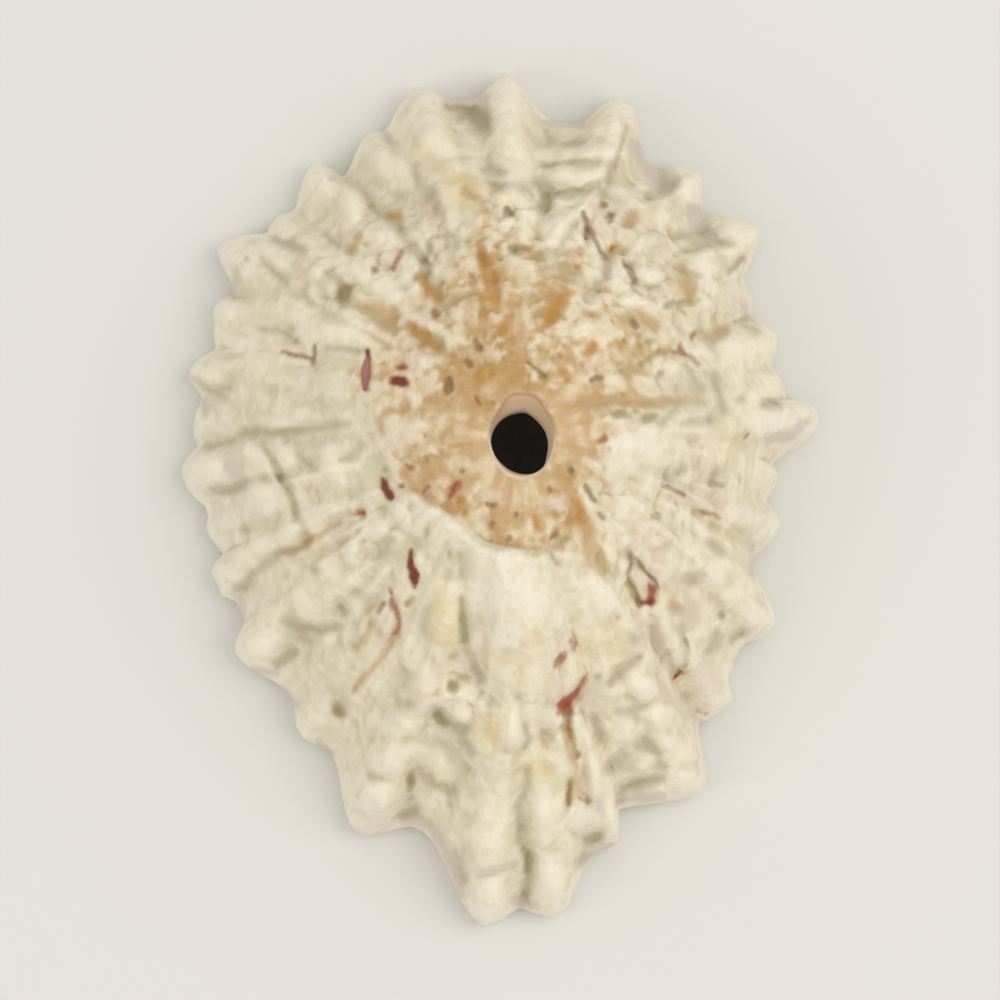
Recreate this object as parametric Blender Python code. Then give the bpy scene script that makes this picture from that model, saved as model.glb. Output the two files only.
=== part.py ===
# Keyhole limpet shell: one natural piece that rests on its margin.
# x runs across the shell, y along it and z up from the surface that it rests on.
# The origin is on that surface, under the middle of the shell.

import math

import bpy
import numpy as np

MM = 0.001

# Driving dimensions in millimetres
HOLE_PLACE = (0.8, 0.8)
RIM_HEIGHT = 12.8
RIM_HALF = (1.36, 1.8)  # half width and half length of the hole's upper edge
RIM_SHIFT = (0.02, 0.3)  # the upper edge leans towards +y
THROAT_HALF = (1.2, 1.28)
THROAT_DEPTH = 1.0
LOWER_RIM_HALF = (1.55, 1.75)
CALLUS_DROP = 0.35  # thickened ring round the hole on the inside
WALL_AT_APEX = 2.1
MARGIN_HEIGHT = 1.15
MARGIN_WALL = 1.7
VALLEY_LIFT = 0.25  # the margin between two ribs is clear of the surface by this
EDGE_LEAST = 0.5  # least height of the edge in a valley
OUTER_BEND = 1.5  # 1 is a straight cone, more is a rounder one
INNER_BEND = 1.6

# Growth stages, each a low step across the shell and a nodule on every rib
STAGES = 8
ROWS_PER_STAGE = 3
NODULE_HEIGHT = 0.42
STEP_HEIGHT = 0.12
RIB_HEIGHT_SHARE = 0.24  # height of a rib for its width
RIB_HEIGHT_MOST = 0.8

# Worn crater round the hole, with the broken edge of the outer layer on its -y side
CRATER_REACH = 4.1
CRATER_DEPTH = 0.7
BROKEN_EDGE_WIDTH = 0.25
WORN_EDGE_WIDTH = 3.5
BROKEN_EDGE_BEARINGS = (155.0, 245.0)  # degrees clockwise from +y

# How the end of a rib meets the valley beside it: (1 - share ** roundness) ** hollow,
# where a hollow under 1 bulges, 1.5 is nearly straight and 3 leaves a narrow spine
TIP_ROUNDNESS = 1.7

# Ribs, clockwise from +y: tip x and y, the valley after it x and y, and how hollow the
# outline is before the tip and after it
RIBS = [
    (0.2, 18.0, 2.6, 15.9, 4.0, 2.2),
    (5.0, 16.9, 6.6, 13.8, 2.2, 1.9),
    (7.9, 13.7, 8.6, 11.7, 1.6, 1.4),
    (10.6, 11.2, 10.1, 9.2, 2.4, 1.1),
    (10.5, 8.4, 10.5, 7.6, 1.2, 1.2),
    (11.5, 6.8, 11.3, 5.5, 1.0, 1.2),
    (11.9, 4.6, 11.9, 4.0, 1.2, 1.0),
    (13.3, 3.4, 11.4, 1.4, 0.6, 1.2),
    (11.6, 0.8, 11.1, -0.1, 1.2, 1.2),
    (11.7, -1.2, 10.6, -2.5, 1.6, 1.3),
    (11.4, -5.5, 10.2, -6.1, 1.8, 1.0),
    (9.6, -8.7, 8.3, -9.5, 2.4, 0.9),
    (8.4, -12.4, 4.9, -13.1, 1.7, 1.8),
    (4.8, -14.6, 3.8, -15.0, 0.9, 1.0),
    (2.3, -17.6, 0.8, -17.2, 2.0, 1.3),
    (-0.6, -18.0, -3.7, -13.8, 1.4, 2.8),
    (-5.9, -14.1, -7.0, -10.6, 1.5, 1.8),
    (-8.2, -10.1, -9.3, -7.8, 1.2, 1.9),
    (-11.0, -6.6, -11.0, -4.3, 1.2, 3.0),
    (-12.0, -3.2, -11.7, -2.3, 1.0, 1.0),
    (-12.3, -1.2, -12.3, -0.4, 1.2, 1.2),
    (-13.3, 1.1, -12.6, 2.1, 1.0, 0.9),
    (-12.8, 3.0, -12.5, 4.0, 1.1, 1.2),
    (-13.0, 5.3, -11.8, 6.6, 1.3, 1.6),
    (-11.9, 8.0, -11.3, 8.7, 1.1, 1.0),
    (-11.8, 10.5, -9.8, 11.1, 1.9, 0.9),
    (-9.3, 11.8, -8.6, 12.1, 1.0, 1.2),
    (-7.8, 14.1, -6.6, 13.5, 1.3, 1.3),
    (-5.4, 15.4, -4.9, 15.4, 1.9, 1.2),
    (-3.4, 17.3, -2.2, 16.8, 1.4, 1.2),
]

# Swellings on the outer face: x, y, half width, half length, height
SWELLINGS = [
    (0.8, -6.8, 3.0, 2.7, 0.8),
    (-1.9, -9.9, 0.75, 0.95, 0.7),
    (-3.2, -4.6, 1.3, 1.6, 0.35),
    (4.4, 10.2, 0.9, 1.6, 0.45),
    (6.6, -0.3, 1.6, 1.0, 0.3),
]

# Mesh fineness
WIDE_RIB = 2.4  # a rib wider than this at the margin gets six columns in place of four
INNER_ROWS = 7
COARSE_STAGES = 1.5  # the outer face has half the columns up to this growth stage


def clear_scene():
    for found in list(bpy.data.objects):
        bpy.data.objects.remove(found, do_unlink=True)


def smooth_step(value):
    held = np.clip(value, 0.0, 1.0)
    return held * held * (3.0 - 2.0 * held)


def polar(x, y):
    """Bearing in radians clockwise from +y, and reach, both from the hole."""
    across, along = x - HOLE_PLACE[0], y - HOLE_PLACE[1]
    return math.atan2(across, along), math.hypot(across, along)


def rib_columns():
    """One row per column of the mesh: bearing, margin reach, valley reach, share of the way
    from crest (0) to valley (1), and width of its rib in radians."""
    crests = [polar(rib[0], rib[1]) for rib in RIBS]
    valleys = [polar(rib[2], rib[3]) for rib in RIBS]
    columns = []
    for index, (crest, valley) in enumerate(zip(crests, valleys)):
        before = valleys[index - 1]
        turn_before = (crest[0] - before[0]) % math.tau
        turn_after = (valley[0] - crest[0]) % math.tau
        width = turn_before + turn_after
        wide = width * crest[1] > WIDE_RIB
        shares = (0.34, 0.68) if wide else (0.55,)
        sides = [(-1, share) for share in reversed(shares)] + [(1, 0.0)]
        sides += [(1, share) for share in shares] + [(1, 1.0)]
        for side, share in sides:
            low = valley if side > 0 else before
            turn = turn_after if side > 0 else turn_before
            hollow = RIBS[index][5] if side > 0 else RIBS[index][4]
            rise = (1.0 - share**TIP_ROUNDNESS) ** hollow
            reach = low[1] + (crest[1] - low[1]) * rise
            columns.append((crest[0] + side * share * turn, reach, low[1], share, width))
    return np.array(columns).T


def averaged(ring, times):
    for _ in range(times):
        ring = (np.roll(ring, 1) + 2.0 * ring + np.roll(ring, -1)) / 4.0
    return ring


def oval(bearings, half, shift=(0.0, 0.0)):
    """Points of an oval round the hole, one per bearing."""
    across = HOLE_PLACE[0] + shift[0] + half[0] * np.sin(bearings)
    along = HOLE_PLACE[1] + shift[1] + half[1] * np.cos(bearings)
    return across, along


def ring_of(across, along, height):
    return np.stack([across, along, np.broadcast_to(height, across.shape)], axis=1)


def stage_phase(share):
    """Where a row stands within its growth stage, from 0 to 1."""
    return (share * STAGES) % 1.0


def outer_layer(bearings, reach):
    """Height of the outer layer, which is worn off round the hole and broken on one side."""
    degrees = np.degrees(bearings) % 360.0
    first, last = BROKEN_EDGE_BEARINGS
    middle, half = (first + last) / 2.0, (last - first) / 2.0
    sharp = smooth_step((half + 20.0 - np.abs(degrees - middle)) / 20.0)
    width = WORN_EDGE_WIDTH + (BROKEN_EDGE_WIDTH - WORN_EDGE_WIDTH) * sharp
    return CRATER_DEPTH * smooth_step((reach - CRATER_REACH) / width)


def outer_ring(columns, share):
    """One ring of the outer face, at a share of the way from the hole's edge to the margin."""
    bearings, margin_reach, _, rib_share, rib_width = columns
    rim_x, rim_y = oval(bearings, RIM_HALF, RIM_SHIFT)
    end_x = HOLE_PLACE[0] + margin_reach * np.sin(bearings)
    end_y = HOLE_PLACE[1] + margin_reach * np.cos(bearings)
    x = rim_x + (end_x - rim_x) * share
    y = rim_y + (end_y - rim_y) * share
    reach = np.hypot(x - HOLE_PLACE[0], y - HOLE_PLACE[1])
    fall = RIM_HEIGHT - MARGIN_HEIGHT
    z = MARGIN_HEIGHT + fall * (1.0 - share ** OUTER_BEND)

    rib_height = np.minimum(RIB_HEIGHT_SHARE * rib_width * reach, RIB_HEIGHT_MOST)
    ridge = 0.55 - 1.55 * rib_share ** 2.2
    grown = smooth_step((share - 0.15) / 0.35)
    nodule = math.sin(math.pi * stage_phase(share) ** 1.4)
    lift = rib_height * ridge * grown
    lift = lift + NODULE_HEIGHT * nodule * grown * (1.0 - rib_share**2)
    lift = lift + STEP_HEIGHT * nodule * grown
    lift = lift + outer_layer(bearings, reach) * (1.0 - share**2)
    for place_x, place_y, half_x, half_y, height in SWELLINGS:
        away = ((x - place_x) / half_x) ** 2 + ((y - place_y) / half_y) ** 2
        lift = lift + height * np.exp(-away)

    # The relief stands square to the cone, and turns upright where the margin is near
    run = margin_reach - np.hypot(rim_x - HOLE_PLACE[0], rim_y - HOLE_PLACE[1])
    steepness = fall * OUTER_BEND * max(share, 0.001) ** (OUTER_BEND - 1.0) / run
    level = 1.0 / np.sqrt(1.0 + steepness**2)
    outward = steepness * level * (1.0 - share**4)
    x = x + lift * outward * np.sin(bearings)
    y = y + lift * outward * np.cos(bearings)
    return ring_of(x, y, np.maximum(z + lift * level, VALLEY_LIFT + EDGE_LEAST))


def margin_rings(columns, top):
    """The rounded edge, from the last ring of the outer face down to the underside."""
    bearings, margin_reach, _, rib_share, _ = columns
    bottom = np.where(rib_share > 0.9, VALLEY_LIFT, 0.0)
    rings = []
    for inset, height in ((0.0, bottom + 0.45 * (top[:, 2] - bottom)), (0.4, bottom)):
        reach = margin_reach - inset
        x = HOLE_PLACE[0] + reach * np.sin(bearings)
        y = HOLE_PLACE[1] + reach * np.cos(bearings)
        rings.append(ring_of(x, y, height))
    return rings


def inner_rings(columns):
    """The smooth hollow, from the inner margin up to the hole's lower edge."""
    bearings, _, valley_reach, _, _ = columns
    margin = averaged(valley_reach, 6) - MARGIN_WALL
    margin_x = HOLE_PLACE[0] + margin * np.sin(bearings)
    margin_y = HOLE_PLACE[1] + margin * np.cos(bearings)
    top_x, top_y = oval(bearings, LOWER_RIM_HALF)
    top = RIM_HEIGHT - WALL_AT_APEX
    rings = []
    for row in range(INNER_ROWS + 1):
        share = 1.0 - row / INNER_ROWS
        x = top_x + (margin_x - top_x) * share
        y = top_y + (margin_y - top_y) * share
        reach = np.hypot(x - HOLE_PLACE[0], y - HOLE_PLACE[1])
        callus = CALLUS_DROP * (1.0 - smooth_step((reach - 2.2) / 0.9))
        rings.append(ring_of(x, y, top * (1.0 - share**INNER_BEND) - callus))
    return rings


def throat_rings(columns):
    """The hole's wall between its lower edge and its upper edge."""
    bearings = columns[0]
    rings = []
    for half, depth in ((THROAT_HALF, THROAT_DEPTH + 0.6), (THROAT_HALF, THROAT_DEPTH)):
        x, y = oval(bearings, half)
        rings.append(ring_of(x, y, RIM_HEIGHT - depth))
    return rings


def join_rings(faces, first, second):
    """Faces between two closed rings of point numbers, equal in count or two to one."""
    if len(first) < len(second):
        joined = []
        join_rings(joined, second, first)
        faces += [face[::-1] for face in joined]
        return
    if len(first) == len(second):
        for here in range(len(first)):
            after = (here + 1) % len(first)
            faces.append((first[here], first[after], second[after], second[here]))
        return
    for here in range(len(second)):
        after = (here + 1) % len(second)
        fine = [first[2 * here], first[2 * here + 1], first[(2 * here + 2) % len(first)]]
        faces.append((fine[0], fine[1], second[here]))
        faces.append((fine[1], second[after], second[here]))
        faces.append((fine[1], fine[2], second[after]))


def shell_mesh():
    fine = rib_columns()
    coarse = fine[:, ::2]
    rings = []
    rows = STAGES * ROWS_PER_STAGE
    for row in range(rows + 1):
        share = row / rows
        rings.append(outer_ring(coarse if share * STAGES < COARSE_STAGES else fine, share))
    rings += margin_rings(fine, rings[-1])
    rings += inner_rings(coarse)
    rings += throat_rings(coarse)

    points, numbers = [], []
    for ring in rings:
        numbers.append(list(range(len(points), len(points) + len(ring))))
        points += [tuple(float(value) * MM for value in point) for point in ring]
    faces = []
    for index, ring in enumerate(numbers):
        join_rings(faces, ring, numbers[(index + 1) % len(numbers)])
    mesh = bpy.data.meshes.new("shell")
    mesh.from_pydata(points, [], faces)
    mesh.validate()
    return mesh


def shell_material():
    material = bpy.data.materials.new("cream_shell")
    material.use_nodes = True
    surface = material.node_tree.nodes["Principled BSDF"]
    surface.inputs["Base Color"].default_value = (0.68, 0.56, 0.38, 1.0)
    surface.inputs["Roughness"].default_value = 0.55
    surface.inputs["Metallic"].default_value = 0.0
    return material


def main():
    clear_scene()
    mesh = shell_mesh()
    mesh.materials.append(shell_material())
    mesh.shade_smooth()
    mesh.set_sharp_from_angle(angle=math.radians(50.0))
    shell = bpy.data.objects.new("shell", mesh)
    bpy.context.scene.collection.objects.link(shell)


main()
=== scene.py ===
import itertools
import math

import bpy
import numpy as np
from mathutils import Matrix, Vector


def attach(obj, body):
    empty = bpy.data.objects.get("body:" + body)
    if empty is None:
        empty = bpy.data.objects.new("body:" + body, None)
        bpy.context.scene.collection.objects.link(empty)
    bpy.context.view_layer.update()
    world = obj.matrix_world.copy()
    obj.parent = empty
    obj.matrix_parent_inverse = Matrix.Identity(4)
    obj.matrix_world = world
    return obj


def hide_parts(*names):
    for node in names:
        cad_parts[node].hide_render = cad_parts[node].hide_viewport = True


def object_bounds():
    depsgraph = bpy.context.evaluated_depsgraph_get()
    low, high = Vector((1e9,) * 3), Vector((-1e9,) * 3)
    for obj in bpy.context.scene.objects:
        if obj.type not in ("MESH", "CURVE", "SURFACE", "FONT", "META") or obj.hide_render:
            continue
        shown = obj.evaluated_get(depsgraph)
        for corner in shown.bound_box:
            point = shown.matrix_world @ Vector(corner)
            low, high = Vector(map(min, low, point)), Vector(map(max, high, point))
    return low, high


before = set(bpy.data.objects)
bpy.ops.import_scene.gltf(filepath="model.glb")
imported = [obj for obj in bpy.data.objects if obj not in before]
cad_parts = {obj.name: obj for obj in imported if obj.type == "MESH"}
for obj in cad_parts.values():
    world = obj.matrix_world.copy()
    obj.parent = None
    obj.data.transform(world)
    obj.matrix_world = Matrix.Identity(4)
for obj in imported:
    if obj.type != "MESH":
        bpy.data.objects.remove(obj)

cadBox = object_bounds()
mm = 0.001
seed = 41

# How the photograph looks at the shell; its pixels are the places given in the tables below
photograph = {
    "middle": 500.0,
    "pixel": 0.0417,  # mm
    "elevation": 82.0,  # degrees above the table
    "distance": 600.0,  # mm
}

# Millimetres, with the origin on the table under the middle of the shell
form = {
    "hole": (0.8, 0.8),
    "rimHeight": 12.8,
    "rimHalf": (1.32, 1.70),
    "rimShift": (0.12, 0.06),
    "rimUneven": [  # bearing and width in degrees, share of the reach
        (20, 14, 0.05), (340, 14, 0.05), (50, 20, -0.07), (310, 20, -0.07),
    ],
    "throatHalf": (1.19, 1.31),
    "throatShift": (-0.02, -0.12),
    "throatUneven": [(12, 14, 0.05), (45, 30, -0.02), (140, 22, 0.14), (220, 45, -0.12), (315, 30, 0.0)],
    "throatDepth": 1.0,
    "throatWall": 0.6,
    "lowerRimHalf": (1.55, 1.75),
    "callusDrop": 0.35,
    "callusReach": (2.2, 3.1),
    "wallAtApex": 2.1,
    "marginHeight": 1.15,
    "marginWall": 1.7,
    "valleyLift": 0.25,
    "valleyTop": 0.72,
    "valleyDip": 0.05,
    "valleySoftness": 0.25,
    "outerBend": 1.5,
    "innerBend": 1.6,
    "marginRounds": (500, 40),  # how far the outline is smoothed near the hole, and half way out
    "softFrom": 0.5,  # share of the way out where the outline's shape begins to tell
    "ribbedFrom": 0.8,  # where its ribs do
    "tipRoundness": 1.7,
    "edgeAtTip": 0.62,
    "edgeInValley": 0.34,
    "edgeTurn": 40.0,  # degrees from upright at which the edge begins to turn under
    "bandArch": 0.04,
    "fluteHeight": 0.10,
    "fluteWidth": 3.0,
}

ribs = {
    # tip x, tip y, next valley x, valley y clockwise from +y, hollow before the tip, hollow after it
    "table": [
        (0.2, 18.0, 2.6, 15.9, 5.2, 3.2), (5.0, 16.9, 6.6, 13.8, 3.4, 2.5),
        (7.9, 13.7, 8.6, 11.7, 1.6, 1.4), (10.6, 11.2, 10.1, 9.2, 1.0, 1.1),
        (10.5, 8.4, 10.5, 7.6, 1.2, 1.2), (11.5, 6.8, 11.3, 5.5, 1.0, 1.2),
        (11.9, 4.6, 11.9, 4.0, 1.2, 1.0), (13.3, 3.4, 11.4, 1.4, 0.35, 1.0),
        (11.6, 0.8, 11.1, -0.1, 1.2, 1.2), (11.7, -1.2, 10.6, -2.5, 1.6, 1.3),
        (11.4, -5.5, 10.2, -6.1, 2.4, 1.0), (9.6, -8.7, 8.3, -9.5, 4.2, 0.8),
        (8.4, -12.4, 4.9, -13.1, 1.7, 2.2), (4.8, -14.6, 3.8, -15.0, 0.9, 1.0),
        (2.3, -17.6, 0.8, -17.2, 1.6, 1.3), (-0.6, -18.0, -3.7, -13.8, 1.4, 2.8),
        (-5.9, -14.1, -7.0, -10.6, 1.5, 1.8), (-8.2, -10.1, -9.3, -7.8, 1.2, 3.2),
        (-11.0, -6.6, -11.0, -4.3, 1.2, 3.8), (-12.0, -3.2, -11.5, -2.4, 1.0, 1.0),
        (-12.3, -1.2, -12.3, -0.4, 1.2, 1.2), (-13.3, 1.1, -12.6, 2.1, 1.0, 0.9),
        (-12.8, 3.0, -12.5, 4.0, 1.1, 1.2), (-13.0, 5.3, -11.85, 6.3, 1.3, 1.4),
        (-11.9, 8.0, -11.2, 8.55, 1.1, 1.0), (-11.8, 10.5, -9.8, 11.1, 2.4, 1.0),
        (-9.3, 11.8, -8.6, 12.1, 1.0, 1.2), (-7.8, 14.1, -6.6, 13.5, 1.3, 1.3),
        (-5.4, 15.4, -4.9, 15.4, 1.9, 1.2), (-3.4, 17.3, -2.2, 16.8, 1.4, 1.2),
    ],
    "stages": 8,
    # one entry per rib, from the first of the table round: how wide its crest is for its valleys
    "crestWidth": [
        0.42, 0.50, 0.52, 0.62, 0.70, 0.70, 0.70, 0.60, 0.70, 0.70, 0.65, 0.65, 0.62, 0.70, 0.70,
        0.70, 0.62, 0.75, 0.75, 0.75, 0.75, 0.75, 0.72, 0.72, 0.70, 0.62, 0.55, 0.60, 0.58, 0.62,
    ],
    # how far out it begins to stand free, as a share of the way to the margin
    "freeFrom": [
        0.72, 0.78, 0.80, 0.82, 0.88, 0.86, 0.87, 0.84, 0.88, 0.86, 0.82, 0.80, 0.78, 0.80, 0.78,
        0.78, 0.76, 0.80, 0.80, 0.84, 0.86, 0.82, 0.87, 0.85, 0.84, 0.78, 0.80, 0.78, 0.78, 0.74,
    ],
    # the share of its height that is left further in
    "inland": [
        0.10, 0.10, 0.08, 0.06, 0.04, 0.04, 0.04, 0.04, 0.04, 0.05, 0.08, 0.10, 0.14, 0.16, 0.20,
        0.20, 0.16, 0.10, 0.08, 0.07, 0.05, 0.08, 0.05, 0.07, 0.06, 0.05, 0.05, 0.08, 0.10, 0.12,
    ],
    # how deep its valleys are for its height
    "valley": [
        0.70, 0.45, 0.45, 0.35, 0.20, 0.25, 0.20, 0.20, 0.20, 0.25, 0.35, 0.35, 0.50, 0.50, 0.40,
        0.40, 0.60, 0.40, 0.45, 0.25, 0.20, 0.25, 0.20, 0.25, 0.25, 0.35, 0.35, 0.50, 0.50, 0.60,
    ],
    # how much it is divided into knobs
    "knobby": [
        0.15, 0.2, 0.2, 0.15, 0.12, 0.15, 0.12, 0.05, 0.12, 0.15, 0.25, 0.3, 0.4, 0.4, 0.5,
        0.6, 0.5, 0.3, 0.25, 0.2, 0.2, 0.2, 0.15, 0.15, 0.12, 0.12, 0.15, 0.2, 0.2, 0.12,
    ],
    # how steep its sides are
    "steepness": [
        7, 5, 5, 5, 4, 4, 4, 5, 4, 4, 4, 4, 4, 4, 5,
        5, 5, 4, 4, 3.5, 3.5, 3.5, 3.5, 3.5, 3.5, 4, 4, 4, 4, 5,
    ],
    "freeOver": 0.15,
    "noduleHeight": 0.30,
    "noduleSpread": 0.6,  # how much the nodules differ from one another
    "stepHeight": 0.02,
    "heightShare": 0.17,
    "heightMost": 0.75,
    "crest": 0.60,
    "grown": (0.26, 0.68),  # share of the way out from which the ribs rise, and where they are full
    "wornAway": 0.65,  # how much of a rib the wear can take
    "noduleLength": (0.22, 0.50),  # full and gone, in growth stages from its middle
    "noduleWidth": (0.42, 0.92),  # the same across the rib
    "noduleFoot": (0.7, 1.0),
    "wobble": (0.35, 0.22),  # of the growth stages: size, amount
    "waver": (1.6, 0.08),
    "wander": (2.2, 0.22),  # of the crests: size in mm, amount
    "widthRounds": 60,
    "blendRounds": 12,
    "liftRounds": 6,
}

# Small bumps on the outline: pixel of the bump, its width in degrees, its height in mm
outlineBumps = [
    (634, 118, 1.2, 0.35), (232, 596, 1.3, 0.25), (722, 222, 2.4, 0.2), (700, 176, 1.3, 0.35),
    (672, 174, 1.2, 0.25), (757, 240, 3.0, 0.25), (209, 520, 1.3, -0.15), (200, 395, 1.2, -0.2),
    (345, 745, 1.6, 0.15), (519, 85, 3.0, -0.14), (582, 123, 2.0, -0.2), (781, 457, 2.0, -0.2),
    (738, 662, 2.0, 0.2), (727, 684, 1.8, -0.32), (731, 703, 1.6, 0.1), (294, 705, 3.0, -0.17),
    (485, 91, 2.0, -0.25), (243, 628, 1.3, -0.2), (219, 328, 1.3, -0.15),
]

# The worn hollow round the hole: its edge as pixels, and how soft the step is there in pixels
crater = {
    "edge": [
        (405, 487, 5), (412, 489, 4), (436, 504, 4), (460, 523, 4), (483, 542, 5), (501, 546, 6),
        (534, 551, 6), (560, 542, 8), (576, 524, 18), (604, 560, 45), (614, 520, 55), (600, 470, 60),
        (596, 425, 60), (640, 380, 70), (655, 335, 70), (625, 290, 60), (570, 262, 70), (515, 258, 80),
        (470, 246, 60), (432, 272, 50), (398, 300, 60), (378, 345, 70), (372, 420, 60), (384, 468, 30),
    ],
    "depth": 0.75,
    "granules": 0.17,
    "granuleSize": 0.62,
    "granuleLevel": 0.6,
    "granuleShade": (0.62, 0.5),
    "granulesFrom": (2.4, 3.2),  # mm from the hole
    "pitSize": 0.8,
    "pitDepth": 0.12,
    "pitEdge": (0.28, 0.08),
    "pull": (2.0, 3),  # how the softness of each stretch of the edge spreads inwards
}

# Where the ribs are worn away: pixel, radius, share that is gone
wornPatches = [
    (640, 265, 75, 0.85), (590, 205, 45, 0.6), (385, 262, 55, 0.8), (450, 200, 50, 0.5),
    (330, 395, 60, 0.45), (520, 620, 95, 0.75), (640, 440, 70, 0.6), (450, 640, 60, 0.5),
    (660, 560, 60, 0.4), (400, 560, 50, 0.4), (480, 720, 50, 0.4),
]

# Where the surface is smooth, and where it is a jumble of small lumps: pixel, radius, share
calmPatches = [
    (515, 605, 62, 0.9), (515, 655, 45, 0.7), (444, 618, 30, 0.8), (345, 400, 75, 0.6),
    (505, 130, 60, 0.8), (420, 130, 60, 0.7), (585, 150, 50, 0.6), (790, 420, 40, 0.8),
    (700, 420, 50, 0.5), (735, 240, 34, 0.6), (260, 380, 60, 0.5), (487, 870, 66, 0.8),
    (550, 855, 56, 0.8), (600, 440, 30, 0.3), (740, 356, 40, 0.6), (745, 440, 44, 0.6),
    (765, 525, 36, 0.6), (250, 650, 40, 0.5), (380, 800, 40, 0.5), (690, 780, 36, 0.4),
    (755, 600, 40, 0.5), (730, 300, 36, 0.4), (215, 475, 34, 0.5),
]
roughPatches = [
    (640, 262, 62, 0.9), (588, 238, 40, 0.7), (515, 225, 38, 1.0), (395, 252, 48, 0.6),
    (455, 262, 40, 0.6), (690, 300, 45, 0.5), (690, 480, 60, 0.45), (640, 560, 55, 0.5),
    (615, 500, 45, 0.5), (462, 705, 36, 0.8), (590, 700, 50, 0.4), (372, 520, 44, 0.4),
    (440, 240, 36, 0.6), (340, 275, 40, 0.5), (660, 380, 45, 0.4),
]

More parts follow.
